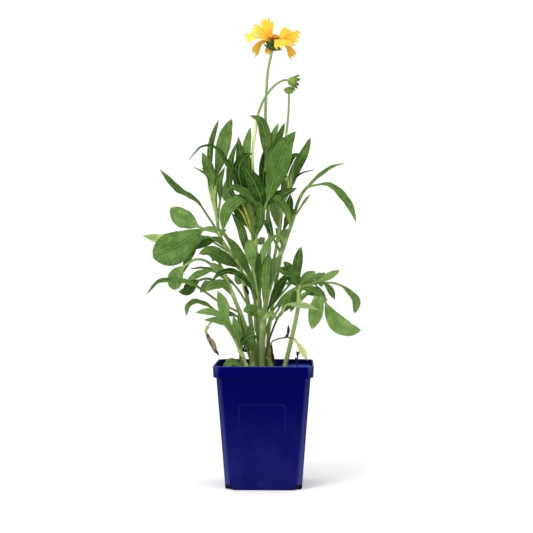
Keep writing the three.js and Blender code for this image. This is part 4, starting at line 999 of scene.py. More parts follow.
class Growth:
    """Collects closed lofts with their attributes and makes them one mesh."""

    def __init__(self):
        self.points, self.faces, self.slots, self.growth, self.size = [], [], [], [], []

    def loft(self, rings, slot):
        """Joins rings of (point, growth, size), all of one length, in order, and closes both ends."""
        start, count = len(self.points), len(rings[0])
        for ring in rings:
            for point, growth, size in ring:
                self.points.append(point * MM)
                self.growth += growth
                self.size += size
        for row in range(len(rings) - 1):
            first = start + row * count
            for index in range(count):
                after = first + (index + 1) % count
                self.faces.append((first + index, after, after + count, first + index + count))
        last = start + (len(rings) - 1) * count
        self.faces.append(tuple(range(start + count - 1, start - 1, -1)))
        self.faces.append(tuple(range(last, last + count)))
        self.slots += [slot] * (len(rings) * count - count + 2)

    def piece(self, name):
        mesh = bpy.data.meshes.new(name)
        mesh.from_pydata(self.points, [], self.faces)
        for title, values in (("growth", self.growth), ("size", self.size)):
            mesh.attributes.new(title, "FLOAT_VECTOR", "POINT").data.foreach_set("vector", values)
        mesh.polygons.foreach_set("material_index", self.slots)
        mesh.shade_smooth()
        piece = bpy.data.objects.new(name, mesh)
        bpy.context.scene.collection.objects.link(piece)
        return piece

    def settle(self, name, slot, materials):
        """The finished piece that stands for a node."""
        settle(self.piece(name + "_growth"), name + "_growth", slot, name, materials=materials)


def grow_stem(growth, line, radii, tone, joints=(), young=(0, 0), knobbly=0.0, seed=""):
    """A ribbed stem along a line, a little swollen at its joints and paler between the heights of its
    young part. A pair of tones is for its foot and top."""
    foot_tone, top_tone = tone if isinstance(tone, tuple) else (tone, tone)
    rng = random.Random("stem" + seed)
    offset = Vector((rng.uniform(0, 99), rng.uniform(0, 99), 0))
    sides, ribs, joint_reach, last = 12, 6, 2.6, len(line) - 1
    walked, rings = 0.0, []
    for index, spot in enumerate(line):
        before, after = line[max(index - 1, 0)], line[min(index + 1, last)]
        direction = (after - before).normalized()
        across = Vector((0, 1, 0)).cross(direction).normalized()
        outward = direction.cross(across)
        walked += (spot - before).length
        near = sum(math.exp(-(((spot - joint).length / joint_reach) ** 2)) for joint in joints)
        radius = radii[0] + (radii[1] - radii[0]) * index / last
        radius *= 1 + 0.22 * min(near, 1.2) + 0.05 * noise.noise(spot * 0.11 + offset)
        if index == last:
            radius *= 0.6
        upper = clamp((index / last - 0.45) / 0.3)
        shade = foot_tone + (top_tone - foot_tone) * upper
        low, high = young
        fresh = clamp((spot.z - low) / 12) * clamp((high - spot.z) / 18)
        ring = []
        for side in range(sides):
            angle = FULL_TURN * side / sides
            x, y = math.cos(angle), math.sin(angle)
            rib = radius * (1 + 0.045 * math.cos(ribs * angle + 0.02 * walked))
            rib *= 1 + knobbly * noise.noise(Vector((x, y, spot.z * 0.35)) + offset)
            point = spot + across * rib * x + outward * rib * y
            ring.append((point, (shade, fresh, 0.28 * min(near, 1)), (3 * x, walked, 3 * y)))
        rings.append(ring)
    growth.loft(rings, STEM)


def grow_leaf(growth, foot, row, seed, crumple=0.0):
    """A leaf on its petiole: folded along the midrib (a wide one is arched instead), channelled above and
    keeled below, with waved margins and a thin edge."""
    _, petiole, width, outline, face, tone, *midrib = row
    leaf = settings("foliage")
    rng = random.Random("leaf" + seed)
    line = smooth_line([foot, *midrib], LEAF_STEPS)
    total = line_length(line)
    looks = Vector(face).normalized()
    # points across, and rings 2.2 mm apart along the blade and 4 mm apart along the petiole
    columns = 11 if width >= 12 else 9 if width >= 7 else 7
    blade_rows = max(14, min(34, int(total * (1 - petiole) / 2.2)))
    petiole_rows = max(3, int(total * petiole / 4))
    parts = [petiole * step / petiole_rows for step in range(petiole_rows)]
    parts += [petiole + (1 - petiole) * step / blade_rows for step in range(blade_rows + 1)]
    stalk = 1.0 + 0.02 * width  # half the petiole's width
    fold = FOLD if width < WIDE else WIDE_FOLD
    wave = (leaf.wave / MM) * min(width / WIDE, 1.1)
    # the waves of each margin: their phase, and how long one is
    waves = [(rng.uniform(0, 6.28), rng.uniform(11, 17)) for _ in range(2)]
    roll = math.radians(rng.uniform(-7, 7))
    droop = rng.uniform(0.02, 0.16)
    slot = tone if tone > 1 else LEAF
    tone = clamp(tone + rng.uniform(-0.06, 0.06))
    shift = Vector((rng.uniform(0, 99), rng.uniform(0, 99), rng.uniform(0, 99)))
    rings = []
    for part in parts:
        spot, direction = along(line, part)
        side = direction.cross(looks).normalized()
        normal = side.cross(direction)
        b = clamp((part - petiole) / (1 - petiole))  # the place along the blade
        cos, sin = math.cos(roll * b), math.sin(roll * b)
        side, normal = side * cos + normal * sin, normal * cos - side * sin
        walked = part * total
        sheath = 1.1 * math.exp(-walked / 3.5)
        petiole_half = (stalk + sheath) * (1 - b) ** 0.8 if b < 1 else 0
        half = max(width / 2 * outline(min(b, 0.9995)), petiole_half, 0.14)
        opened = clamp((half - stalk) / (0.25 * width))
        body = 0.55 * (1 - 0.75 * min(b * 3, 1)) + 0.08
        keel = leaf.keel / MM * (1 - b) ** 0.7 * min(half / 2, 1)
        ring_up, ring_low = [], []
        for column in range(columns):
            s = 2 * column / (columns - 1) - 1
            s = math.copysign(abs(s) ** 0.85, s)
            x = s * half
            phase, pitch = waves[0 if s < 0 else 1]
            rise = fold * half * (abs(s) ** 1.25) * opened
            rise -= droop * half * abs(s) ** 4 * opened
            rise += wave * abs(s) ** 2 * opened * math.sin(phase + FULL_TURN * walked / pitch)
            rise += 0.55 * abs(s) * (1 - opened) * (b < 0.5)
            if crumple:
                rise += crumple * noise.noise(spot * 0.22 + side * x * 0.2 + shift) * (0.4 + abs(s))
            groove = 0.3 * math.exp(-((x / 0.7) ** 2)) * opened
            thick = leaf.blade / MM / 2 * (1 - 0.35 * abs(s)) + body * (1 - abs(s)) ** 0.5 * (1 - opened)
            here = spot + side * x + normal * rise
            at = (abs(x), walked, abs(s))
            ring_up.append((here + normal * (thick - groove), (tone, 0, b), at))
            rib = keel * math.exp(-((x / 0.65) ** 2))
            ring_low.append((here - normal * (thick + rib), (tone, 1, b), at))
        rings.append(ring_up + ring_low[::-1])
    growth.loft(rings, slot)


# --------------------------------------------------------------------------------------------
# The bloom and the buds, in millimetres

HEART, AXIS = (9.8, 0, 459.6), (0.2, 0.02, 0.98)  # where the open bloom is and where it looks
DISC_RADIUS, DISC_FOOT, DISC_HEIGHT = 6.4, 2.4, 4.2
RAY_HUB = 2.5  # how far from the axis the rays start, under the disc
BRACTS = 8

# Rays: where the tip lies from the heart, the rise of the middle, width, where the upper side looks
# at the tip, the number of teeth, and how far its yellow is shifted towards lemon.
RAYS = [
    ((-7.5, 12, 28.5), 2, 14, (0.1, -1, 0.6), 4, -0.2),
    ((-25, 8, 15.5), 4, 15, (0.1, -1, 0.5), 4, 0.1),
    ((-31.5, -3, 3.5), 3, 15, (0, -0.9, 0.8), 4, 0.22),
    ((-23, 3, -13), 5, 16, (-0.5, 0.4, 0.8), 3, 0),
    ((-8, 14, -11), 3, 7, (-0.2, 0.7, 0.6), 3, 0),
    ((12, -22, -10), 5, 20, (0.1, -1, 0.5), 5, 0),
    ((21.5, 4, -16), 5, 13, (0.5, 0.6, 0.7), 3, 0),
    ((27, -3, 2), 4, 20, (0.1, -1, 0.3), 4, -0.5),
    ((18, 9, 16), 3, 15, (0, -1, 0.6), 4, -0.05),
]

# Each bud has its stem's node, the heart, axis, radius and length of its globe, how far its bracts reach
# along the axis and spread from it, and how fast they darken to their tips.
BUDS = {
    "nodding_bud": {"node": "shoot_middle", "heart": (29, 0.6, 418.6), "axis": (0.92, 0.3, -0.12),
                    "radius": 4.9, "length": 9.4, "reach": 7.8, "spread": 6.9, "dark": 2.2},
    "small_bud": {"node": "shoot_small_bud", "heart": (25.5, 12, 411), "axis": (0, 0, 1),
                  "radius": 4.8, "length": 7.4, "reach": 3.4, "spread": 5.3, "dark": 0.6},
}


def grow_ray(growth, row, seed):
    """A ray floret: a narrow foot that widens into a pleated blade with deep uneven teeth."""
    tip, rise, width, looks, teeth, lemon = row
    rng = random.Random("ray" + seed)
    heart, up = Vector(HEART), Vector(AXIS).normalized()
    end = heart + Vector(tip)
    out = (Vector(tip) - up * up.dot(Vector(tip))).normalized()
    foot = heart + out * RAY_HUB
    shoulder = heart + out * (DISC_RADIUS + 1)
    middle = shoulder.lerp(end, 0.5) + Vector((0, 0, rise))
    line = smooth_line([foot, shoulder, middle, end], RAY_STEPS)
    total = line_length(line)
    looks = Vector(looks).normalized()
    lobes = [rng.uniform(0.93, 1.0) for _ in range(teeth)]
    lobes[rng.randrange(teeth)] = 1.0
    per_tooth, rows, ripples = 8, 26, hash_place(seed)
    columns = per_tooth * teeth + 1
    thick = settings("flower").ray / MM / 2
    tone, curl = lemon + rng.uniform(-0.05, 0.05), rng.uniform(0.5, 1.3)
    rings = []
    for step in range(rows + 1):
        share = step / rows
        top, bottom = [], []
        for column in range(columns):
            across = 2 * column / (columns - 1) - 1
            lobe, inside = divmod(column / per_tooth, 1)
            lobe = min(int(lobe), teeth - 1)
            if column == columns - 1:
                inside = 1.0
            tooth = lobes[lobe] - 0.17 * abs(2 * inside - 1) ** 1.15 - 0.03 * abs(across) ** 3
            reach = share * (1 - (1 - tooth) * share**5)
            spot, direction = along(line, reach)
            side = direction.cross(up.lerp(looks, share)).normalized()
            normal = side.cross(direction)
            opened = 0.24 + 0.76 * min(1, share / 0.85) ** 0.8
            flare = 1 + 0.05 * share * math.sin(3 * across)
            pleat = 0.4 * math.cos(FULL_TURN * inside) * min(1, 2 * share) * (0.4 + 0.6 * share)
            cup = -curl * across * across * share * 1.6
            ripple = 0.5 * share**2 * noise.noise(Vector((across * 2.2, share * 3, ripples)))
            point = spot + side * (across * width * opened * flare / 2) + normal * (pleat + cup + ripple)
            at = (abs(across) * width / 2, reach * total, across)
            top.append((point + normal * thick, (tone, 0, reach), at))
            bottom.append((point - normal * thick, (tone, 1, reach), at))
        rings.append(top + bottom[::-1])
    growth.loft(rings, 0)


def hash_place(seed):
    """A place in the noise for a name, the same on every run."""
    return sum((index + 1) * ord(letter) for index, letter in enumerate(seed)) % 97


def give_attribute(piece, values):
    """Sets the growth attribute of a piece from a function of a vertex's place, in millimetres."""
    known = piece.data.attributes
    attribute = known.get("growth") or known.new("growth", "FLOAT_VECTOR", "POINT")
    flat = []
    for vertex in piece.data.vertices:
        flat += values(vertex.co / MM)
    attribute.data.foreach_set("vector", flat)


def turned(levels, segments):
    """A closed round body that rises through levels of (radius, height), in millimetres, about +Z."""
    begin()
    (radius, height), *_ = levels
    bpy.ops.mesh.primitive_circle_add(
        vertices=segments, radius=radius * MM, fill_type="NGON", location=(0, 0, height * MM))
    bpy.ops.object.transform_apply()
    edit_all()
    stack([(2 * r * MM, h * MM) for r, h in levels])
    body = close_up()
    body.data.shade_smooth()
    return body


def press_lobes(body, narrow, swell, plain, sharp, above=-math.inf):
    """Presses a round body into eight lobes above a height, and marks their margins from plain to 1."""
    for vertex in body.data.vertices:
        if vertex.co.z > above * MM:
            angle = math.atan2(vertex.co.y, vertex.co.x)
            vertex.co.xy *= narrow + swell * abs(math.cos(BRACTS / 2 * angle))

    def margin(p):
        lobe = abs(math.sin(BRACTS / 2 * math.atan2(p.y, p.x)))
        return plain + (1 - plain) * lobe**sharp, 0, 0.5

    give_attribute(body, margin)


def scale_bract(length_, width, lean, curl, thickness=0.45, dark=2.2):
    """One bract, from the origin up +Z, leaning out along +X, with a pointed tip. Its tip darkens faster
    the higher dark is."""
    begin()
    bpy.ops.mesh.primitive_grid_add(x_subdivisions=5, y_subdivisions=8, size=1)
    piece = bpy.context.object
    values = []
    for vertex in piece.data.vertices:
        s, t = 2 * vertex.co.x, vertex.co.y + 0.5
        half = width / 2 * (0.55 + 0.75 * t) * (1 - t**3.2) ** 0.6 if t < 1 else 0.1
        out = lean * t * length_ + curl * t * t * length_ - 0.16 * width * s * s
        vertex.co = Vector((out, s * max(half, 0.1), t * length_)) * MM
        values += (abs(s), clamp(max(t - 0.4, 0) * dark), t)
    piece.data.attributes.new("growth", "FLOAT_VECTOR", "POINT").data.foreach_set("vector", values)
    apply_modifier("SOLIDIFY", thickness=thickness * MM, offset=0)
    piece.data.shade_smooth()
    return piece


def with_bracts(body, model, rng, spot, lean, heart, axis, first=0, jitter=0):
    """A body with eight copies of a bract round it, joined, turned to an axis and moved to a heart."""
    copies = [body]
    for index in range(BRACTS):
        angle = FULL_TURN / BRACTS * (index + first)
        if jitter:
            angle += rng.uniform(-jitter, jitter)
        tilt = Matrix.Rotation(rng.uniform(*lean), 4, "Y")
        copies.append(copy_of(model, Matrix.Rotation(angle, 4, "Z") @ Matrix.Translation(spot * MM) @ tilt))
    bpy.data.objects.remove(model)
    whole = joined(copies)
    whole.data.transform(facing(heart, axis))
    return whole


# --------------------------------------------------------------------------------------------
# Operators


def body_width(pot, height):
    """Across the outside of the pot's body at a height."""
    return pot.base_width + (pot.body_top_width - pot.base_width) * height / (pot.height - pot.rim_height)


class COREOPSIS_OT_pot(bpy.types.Operator):
    """Square nursery pot with a rim band, a shallow front panel and a drain notch at each corner"""

    bl_idname = "coreopsis.pot"
    bl_label = "Pot"

    def execute(self, context):
        pot = settings("pot")
        begin()
        band = pot.height - pot.rim_height
        edge = 1 * MM  # the rounding of the base's edge
        bpy.ops.mesh.primitive_plane_add(size=pot.base_width - 2 * edge)
        edit_all()
        bpy.ops.mesh.bevel(offset=pot.corner - edge, segments=8, affect="VERTICES")
        bpy.ops.mesh.select_all(action="SELECT")
        inner_top = pot.body_top_width - 2 * pot.wall
        inner_base = body_width(pot, pot.floor) - 2 * pot.wall
        stack([
            (pot.base_width - 2 * edge, 0),
            (pot.base_width, edge),
            (pot.body_top_width, band),
            (pot.rim_foot_width - 0.6 * MM, band + 0.1 * MM),
            (pot.rim_foot_width, band + 0.6 * MM),
            (pot.rim_width, pot.height - 0.7 * MM),
            (pot.rim_width - 0.5 * MM, pot.height - 0.15 * MM),
            (pot.rim_width - 1.3 * MM, pot.height),
            (pot.rim_width - 2 * pot.rim_wall + 0.3 * MM, pot.height - 0.2 * MM),
            (pot.rim_width - 2 * pot.rim_wall, pot.height - 0.8 * MM),
            (pot.rim_foot_width - 2 * pot.rim_wall, band + 1.8 * MM),
            (inner_top + 0.6 * MM, band + 1.0 * MM),
            (inner_top, band + 0.2 * MM),
            (inner_base, pot.floor),
        ])
        shell = close_up()
        for cutter in (self.panel(pot, band), self.drains(pot)):
            begin(shell)
            apply_modifier("BOOLEAN", operation="DIFFERENCE", object=cutter, solver="EXACT")
            bpy.data.objects.remove(cutter)
        apply_modifier("BEVEL", width=0.28 * MM, segments=2, limit_method="ANGLE", angle_limit=math.radians(32))
        bpy.ops.object.shade_smooth_by_angle(angle=math.radians(34))
        settle(shell, "pot_shell", "pot", "pot", materials=[moulded_polypropylene()])
        return {"FINISHED"}

    @staticmethod
    def panel(pot, band):
        """A block with rounded corners, square to the front wall, that presses the panel in."""
        begin()
        bpy.ops.mesh.primitive_plane_add(size=1)
        block = bpy.context.object
        block.scale = (pot.panel_width, pot.panel_height, 1)
        bpy.ops.object.transform_apply()
        edit_all()
        bpy.ops.mesh.bevel(offset=pot.panel_radius, segments=6, affect="VERTICES")
        bpy.ops.mesh.select_all(action="SELECT")
        extrude(5 * MM)
        close_up()
        slope = math.atan((pot.body_top_width - pot.base_width) / 2 / band)
        wall = body_width(pot, pot.panel_centre) / 2
        block.rotation_euler = (math.radians(90) + slope, 0, 0)
        block.location = (PANEL_X, pot.panel_depth - wall, pot.panel_centre)
        bpy.ops.object.transform_apply()
        return block

    @staticmethod
    def drains(pot):
        """Four blocks with arched tops that cut a notch in each corner of the base."""
        blocks = []
        for corner in range(4):
            begin()
            bpy.ops.mesh.primitive_cube_add(size=1)
            block = bpy.context.object
            block.scale = (14 * MM, 11 * MM, 11 * MM)  # through the wall, across, and twice its height
            turn = math.radians(45 + 90 * corner)
            reach = (pot.base_width / 2 - 2 * MM) * math.sqrt(2)
            block.rotation_euler = (0, 0, turn)
            block.location = (reach * math.cos(turn), reach * math.sin(turn), 0)
            bpy.ops.object.transform_apply()
            apply_modifier("BEVEL", width=2.2 * MM, segments=3)
            blocks.append(block)
        return joined(blocks)


class COREOPSIS_OT_soil(bpy.types.Operator):
    """Damp compost that fills the pot, with bark chips and perlite on it"""

    bl_idname = "coreopsis.soil"
    bl_label = "Soil"

    def execute(self, context):
        pot = settings("pot")
        low, high = 2.3 * MM, pot.soil_top
        middle = 50 * MM  # above this height a point is on the surface
        corner = 8 * MM  # radius of the bed's upright corners
        low_width, high_width = (body_width(pot, z) - 2 * pot.wall - 0.8 * MM for z in (low, high))
        shrink = low_width / high_width
        begin()
        bpy.ops.mesh.primitive_grid_add(
            x_subdivisions=84, y_subdivisions=84, size=high_width, location=(0, 0, high))
        bpy.ops.object.transform_apply()
        bpy.ops.object.mode_set(mode="EDIT")
        pick("edges", lambda e: e.is_boundary)
        extrude(low - high)
        widen(shrink)
        bpy.ops.mesh.edge_face_add()
        bed = close_up()
        half = high_width / 2
        for vertex in bed.data.vertices:
            co = vertex.co
            inner = half * (1.0 if co.z > middle else shrink) - corner
            over = Vector((max(abs(co.x) - inner, 0), max(abs(co.y) - inner, 0)))
            if over.length > corner:
                over *= corner / over.length
                co.x = math.copysign(inner + over.x, co.x)
                co.y = math.copysign(inner + over.y, co.y)
            if co.z > middle:
                at = Vector((co.x, co.y, 0)) / MM
                co.z += self.swell(at) + 0.45 * noise.noise(at * 0.9) * MM
        bed.data.shade_smooth()
        settle(bed, "compost_bed", "soil", "soil", materials=[damp_compost()])
        self.chips(half - 2 * MM, high)
        return {"FINISHED"}

    @staticmethod
    def swell(at):
        """How far the soil's surface rises at a place in millimetres."""
        return (1.3 * noise.noise(at * 0.09) + 0.8 * noise.noise(at * 0.3)) * MM

    def chips(self, half, high):
        """Bark flakes and perlite grains, each shaped once and copied over the bed."""
        rng = random.Random("compost")
        stems = [shoot["path"][0] for group in (SHOOTS, OLD_LEAVES, DEAD_STALKS) for shoot in group.values()]
        begin()
        bpy.ops.mesh.primitive_cube_add(size=1)
        flake = bpy.context.object
        bpy.ops.object.mode_set(mode="EDIT")
        bpy.ops.mesh.subdivide(number_cuts=1)
        bpy.ops.object.mode_set(mode="OBJECT")
        for vertex in flake.data.vertices:
            co = vertex.co
            co *= 0.85 + 0.5 * noise.noise(co * 1.9 + Vector((3, 1, 7)))
            co.z *= 1 - 0.5 * abs(co.x)
        begin()
        bpy.ops.mesh.primitive_ico_sphere_add(subdivisions=2, radius=0.5)
        grain = bpy.context.object
        for vertex in grain.data.vertices:
            vertex.co *= 0.8 + 0.5 * noise.noise(vertex.co * 4)
        clear = 3.2  # no chip lies nearer to a stem
        for model, name, count, make in (
            (flake, "bark_chips", 300, shredded_bark),
            (grain, "perlite_grains", 70, expanded_perlite),
        ):
            copies = []
            while len(copies) < count:
                x, y = rng.uniform(-half, half), rng.uniform(-half, half)
                if any(math.hypot(x / MM - sx, y / MM - sy) < clear for sx, sy, _ in stems):
                    continue
                z = high + self.swell(Vector((x, y, 0)) / MM)
                if model is flake:
                    long_, wide, thick = rng.uniform(2.5, 9), rng.uniform(1.5, 4), rng.uniform(0.6, 1.6)
                else:
                    long_ = wide = thick = rng.uniform(1.2, 3)
                tilt = Matrix.Rotation(rng.uniform(0, 6.28), 4, "Z")
                tilt = tilt @ Matrix.Rotation(rng.uniform(-0.5, 0.5), 4, "X")
                scale = Matrix.Diagonal((long_ * MM, wide * MM, thick * MM, 1))
                copies.append(copy_of(model, Matrix.Translation((x, y, z + 0.2 * thick * MM)) @ tilt @ scale))
            bpy.data.objects.remove(model)
            settle(joined(copies), name, "soil", materials=[make()])


class COREOPSIS_OT_shoots(bpy.types.Operator):
    """Leafy stems, each with the leaves that grow from it"""

    bl_idname = "coreopsis.shoots"
    bl_label = "Leafy stems"

    def execute(self, context):
        dead = settings("foliage").dead
        bronzed = leaf_tissue("bronzed_leaf", ("#4f6234", "#667845", "#7b8c55", "#869661"))
        green_stem = fleshy_stem()
        bronze_stem = fleshy_stem("bronze_stem", ("#3b3420", "#5d5034", "#8a8a50"))
        # by slot: LEAF, STEM, DYING, BRONZED, ROTTED, WITHERED
        materials = [
            leaf_tissue(),
            green_stem,
            dry_tissue("dying_blade", "#96963c", "#7a701c", "#5f7a30", 0),
            bronzed,
            dry_tissue("rotted_scrap", dead, "#0b0806"),
            dry_tissue("withered_sheath", "#7a7450", "#4a4426"),
        ]
        for name, shoot in SHOOTS.items():
            line = stem_line(shoot["path"])
            feet = [at_height(line, row[0]) for row in shoot["leaves"]]
            growth = Growth()
            grow_stem(growth, line, shoot["radii"], shoot["tone"], feet, shoot.get("young", (0, 0)), seed=name)
            for index, (foot, row) in enumerate(zip(feet, shoot["leaves"])):
                grow_leaf(growth, foot, row, f"{name} {index}")
            materials[STEM] = bronze_stem if name == "shoot_bronze" else green_stem
            growth.settle(name, "foliage", materials)
        return {"FINISHED"}


class COREOPSIS_OT_bloom(bpy.types.Operator):
    """The open bloom: nine toothed rays, the disc of florets and the green cup"""

    bl_idname = "coreopsis.bloom"
    bl_label = "Bloom"

    def execute(self, context):
        growth = Growth()
        for index, row in enumerate(RAYS):
            grow_ray(growth, row, f"{index}")
        settle(growth.piece("ray_florets"), "ray_florets", "rays", "bloom_rays", materials=[ray_petal()])
        self.disc()
        self.cup()
        return {"FINISHED"}

    @staticmethod
    def disc():
        """A dome packed with tubular florets in a spiral."""
        top = DISC_FOOT + DISC_HEIGHT
        levels = [(0.55, 0.4), (0.75, DISC_FOOT), (1, DISC_FOOT + 1.4), (0.88, top - 1.6), (0.6, top - 0.6),
                  (0.2, top)]
        dome = turned([(DISC_RADIUS * share, height) for share, height in levels], 28)
        # the dome between the florets takes the painted shade
        give_attribute(dome, lambda p: (0, 0, 0.05))
        begin()
        tube = 2.4
        bpy.ops.mesh.primitive_cylinder_add(
            vertices=6, radius=0.42 * MM, depth=tube * MM, location=(0, 0, tube / 2 * MM))
        bpy.ops.object.transform_apply()
        bpy.ops.object.mode_set(mode="EDIT")
        pick("faces", lambda f: f.normal.z > 0.9)
        widen(1.75, tube * MM)
        bpy.ops.mesh.inset(thickness=0.24 * MM)
        bpy.ops.transform.translate(value=(0, 0, -0.7 * MM))
        bpy.ops.object.mode_set(mode="OBJECT")
        floret = bpy.context.object
        # pale at its tip, with painted shade in its throat and low down between the florets
        give_attribute(
            floret, lambda p: (0, 0, max(p.z / tube, 0) * (0.35 if p.xy.length < 0.5 and p.z > 1 else 1)))
        rng = random.Random("florets")
        copies, count, golden_angle = [dome], 64, 2.39996
        for index in range(count):
            share = math.sqrt((index + 0.5) / count)
            angle = index * golden_angle
            radius = DISC_RADIUS * 0.95 * share
            height = DISC_FOOT + DISC_HEIGHT * (1 - share**2.4) * 0.92 + 0.3
            lean = Vector((math.cos(angle) * share * 0.75, math.sin(angle) * share * 0.75, 1))
            place = facing((radius * math.cos(angle), radius * math.sin(angle), height - 0.9), lean)
            grown = rng.uniform(0.75, 1.15)
            copies.append(copy_of(floret, place @ Matrix.Diagonal((grown, grown, grown, 1))))
        bpy.data.objects.remove(floret)
        whole = joined(copies)
        whole.data.transform(facing(HEART, AXIS))
        settle(whole, "disc_florets", "disc", "bloom_disc", materials=[disc_floret()])

    @staticmethod
    def cup():
        """Inner bracts pressed into a cup, and eight narrow outer bracts that spread below it."""
        cup = turned([(1.3, -9.5), (2.2, -9.2), (4.2, -7.6), (5.6, -5.6), (6.9, -3.6), (7.5, -2.2), (7.1, -1.2),
                      (4.5, -0.9)], 32)
        press_lobes(cup, narrow=1, swell=0.045, plain=0.5, sharp=6, above=-9)
        outer = scale_bract(4.2, 5.2, 2.0, -0.3)
        whole = with_bracts(cup, outer, random.Random("cup"), Vector((3.2, 0, -8.4)), (-0.12, 0.2), HEART, AXIS,
                            first=0.5, jitter=0.08)
        tint = settings("flower").cup
        settle(whole, "bloom_cup", "foliage", "shoot_bloom", materials=[bract("cup_bract", tint, "#566e33")])


class COREOPSIS_OT_buds(bpy.types.Operator):
    """Two closed buds with their bracts"""

    bl_idname = "coreopsis.buds"
    bl_label = "Buds"

    def execute(self, context):
        skin = bract("bud_bract", settings("flower").bud, "#b4c86c")
        levels = ((0.3, -1), (0.62, -0.84), (0.9, -0.45), (1, 0.05), (0.93, 0.4), (0.68, 0.75), (0.35, 0.96),
                  (0.1, 1))
        for name, bud in BUDS.items():
            half, radius = bud["length"] / 2, bud["radius"]
            globe = turned([(radius * out, half * up) for out, up in levels], 32)
            press_lobes(globe, narrow=0.97, swell=0.06, plain=0.35, sharp=8)
            foot = Vector((radius * 0.62, 0, -half * 0.8))
            tip = Vector((bud["spread"], 0, bud["reach"] - 2))
            rise = tip.z - foot.z
            outer = scale_bract(rise, 4.2, (tip.x - foot.x) / rise, 0.1, thickness=0.9, dark=bud["dark"])
            whole = with_bracts(
                globe, outer, random.Random(name), foot, (-0.1, 0.12), bud["heart"], bud["axis"])
            settle(whole, name, "foliage", bud["node"], materials=[skin])
        return {"FINISHED"}


class COREOPSIS_OT_old_growth(bpy.types.Operator):
    """A withered leaf, a yellowed leaf and dead stalks"""

    bl_idname = "coreopsis.old_growth"
    bl_label = "Old growth"

    def execute(self, context):
        leaf = settings("foliage")
        scrap = dry_tissue("dry_petiole", "#6f6a3c", "#3d3222")
        black = dry_tissue("rotted_stem", leaf.dead, "#0b0806")
        # each leaf's slot, how far it is crumpled, and its materials from LEAF on
        looks = {
            "withered_leaf": ("withered", 3.8, [
                dry_tissue("dry_leaf", leaf.withered, "#3a2e22", "#93a355"),
                fleshy_stem("limp_petiole", ("#7f9350", "#9db067", "#b3c57c"))]),
            "yellow_leaf": ("yellowed", 0.5, [
                leaf_tissue("yellowed_leaf", (leaf.yellowed, leaf.yellowed, "#b0b87a", "#c8d094")),
                scrap, scrap, scrap, black]),
        }
        for name, old in OLD_LEAVES.items():
            slot, crumple, materials = looks[name]
            line = stem_line(old["path"])
            growth = Growth()
            grow_stem(growth, line, old["radii"], 0.2, seed=name)
            for row in old["leaves"]:
                grow_leaf(growth, at_height(line, row[0]), row, name, crumple)
            growth.settle(name, slot, materials)
        for name, stalk in DEAD_STALKS.items():
            line = stem_line(stalk["path"])
            growth = Growth()
            grow_stem(growth, line, stalk["radii"], 0, knobbly=0.55, seed=name)
            for index, row in enumerate(stalk["scraps"]):
                grow_leaf(growth, at_height(line, row[0]), row, f"{name} {index}", crumple=1.5)
            growth.settle(name, "dead", [black, black])
        return {"FINISHED"}


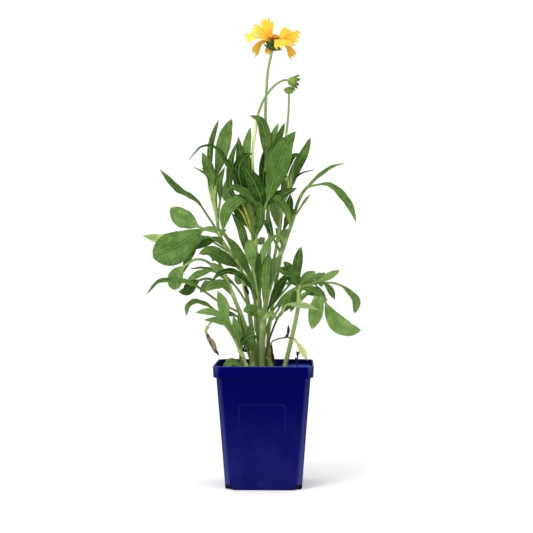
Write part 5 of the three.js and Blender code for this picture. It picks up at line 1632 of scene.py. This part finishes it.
class COREOPSIS_OT_stage(bpy.types.Operator):
    """White paper floor, soft light and the camera"""

    bl_idname = "coreopsis.stage"
    bl_label = "Stage"

    def execute(self, context):
        stage = settings("stage")
        begin()
        bpy.ops.mesh.primitive_plane_add(size=60, location=(0, 0, -0.2 * MM))
        floor = context.object
        floor.name = "paper_floor"
        floor.data.materials.append(matt_paper())

        world = bpy.data.worlds.new("studio")
        world.use_nodes = True
        background = world.node_tree.nodes["Background"].inputs
        background["Color"].default_value = (1, 1, 1, 1)
        background["Strength"].default_value = stage.surround
        context.scene.world = world

        target = Vector((0, 0, 0.24))
        for name, power, size, place in (
            ("key_light", stage.key, 0.7, (-0.75, -1.1, 1.25)),
            ("fill_light", stage.fill, 0.9, (1.1, -0.9, 0.6)),
        ):
            light = bpy.data.lights.new(name, "AREA")
            light.energy, light.size = power, size
            lamp = bpy.data.objects.new(name, light)
            lamp.location = place
            lamp.rotation_euler = (target - Vector(place)).to_track_quat("-Z", "Y").to_euler()
            context.scene.collection.objects.link(lamp)

        turn = stage.camera_azimuth
        right = Vector((math.cos(turn), math.sin(turn), 0))
        back = Vector((math.sin(turn), -math.cos(turn), 0))
        data = bpy.data.cameras.new("camera")
        data.lens, data.sensor_width = stage.lens, 36
        data.clip_start, data.clip_end = 0.05, 50
        camera = bpy.data.objects.new("camera", data)
        camera.location = back * stage.camera_distance + right * stage.camera_side
        camera.location.z = stage.camera_height
        camera.rotation_euler = (math.radians(90), 0, turn)
        context.scene.collection.objects.link(camera)
        context.scene.camera = camera
        context.scene.view_settings.view_transform = "Standard"
        return {"FINISHED"}


class COREOPSIS_PT_panel(bpy.types.Panel):
    """Every piece of the potted coreopsis"""

    bl_idname = "COREOPSIS_PT_panel"
    bl_label = "Coreopsis in its pot"
    bl_space_type = "VIEW_3D"
    bl_region_type = "UI"
    bl_category = "Coreopsis"

    def draw(self, context):
        for operator in OPERATORS:
            self.layout.operator(operator.bl_idname, text=operator.bl_label)
        for name in GROUPS:
            group = settings(name)
            box = self.layout.box()
            for item in group.bl_rna.properties:
                if item.identifier not in ("rna_type", "name"):
                    box.prop(group, item.identifier)


GROUPS = {"pot": PotSettings, "foliage": FoliageSettings, "flower": FlowerSettings, "stage": StageSettings}
OPERATORS = (
    COREOPSIS_OT_pot, COREOPSIS_OT_soil, COREOPSIS_OT_shoots, COREOPSIS_OT_bloom, COREOPSIS_OT_buds,
    COREOPSIS_OT_old_growth, COREOPSIS_OT_stage,
)


def register():
    for cls in (*GROUPS.values(), *OPERATORS, COREOPSIS_PT_panel):
        bpy.utils.register_class(cls)
    for name, group in GROUPS.items():
        setattr(bpy.types.Scene, "coreopsis_" + name, bpy.props.PointerProperty(type=group))


def unregister():
    for name in GROUPS:
        delattr(bpy.types.Scene, "coreopsis_" + name)
    for cls in reversed((*GROUPS.values(), *OPERATORS, COREOPSIS_PT_panel)):
        bpy.utils.unregister_class(cls)


def main():
    register()
    for name in ("pot", "soil", "shoots", "bloom", "buds", "old_growth", "stage"):
        getattr(bpy.ops.coreopsis, name)()


if __name__ == "__main__":
    main()
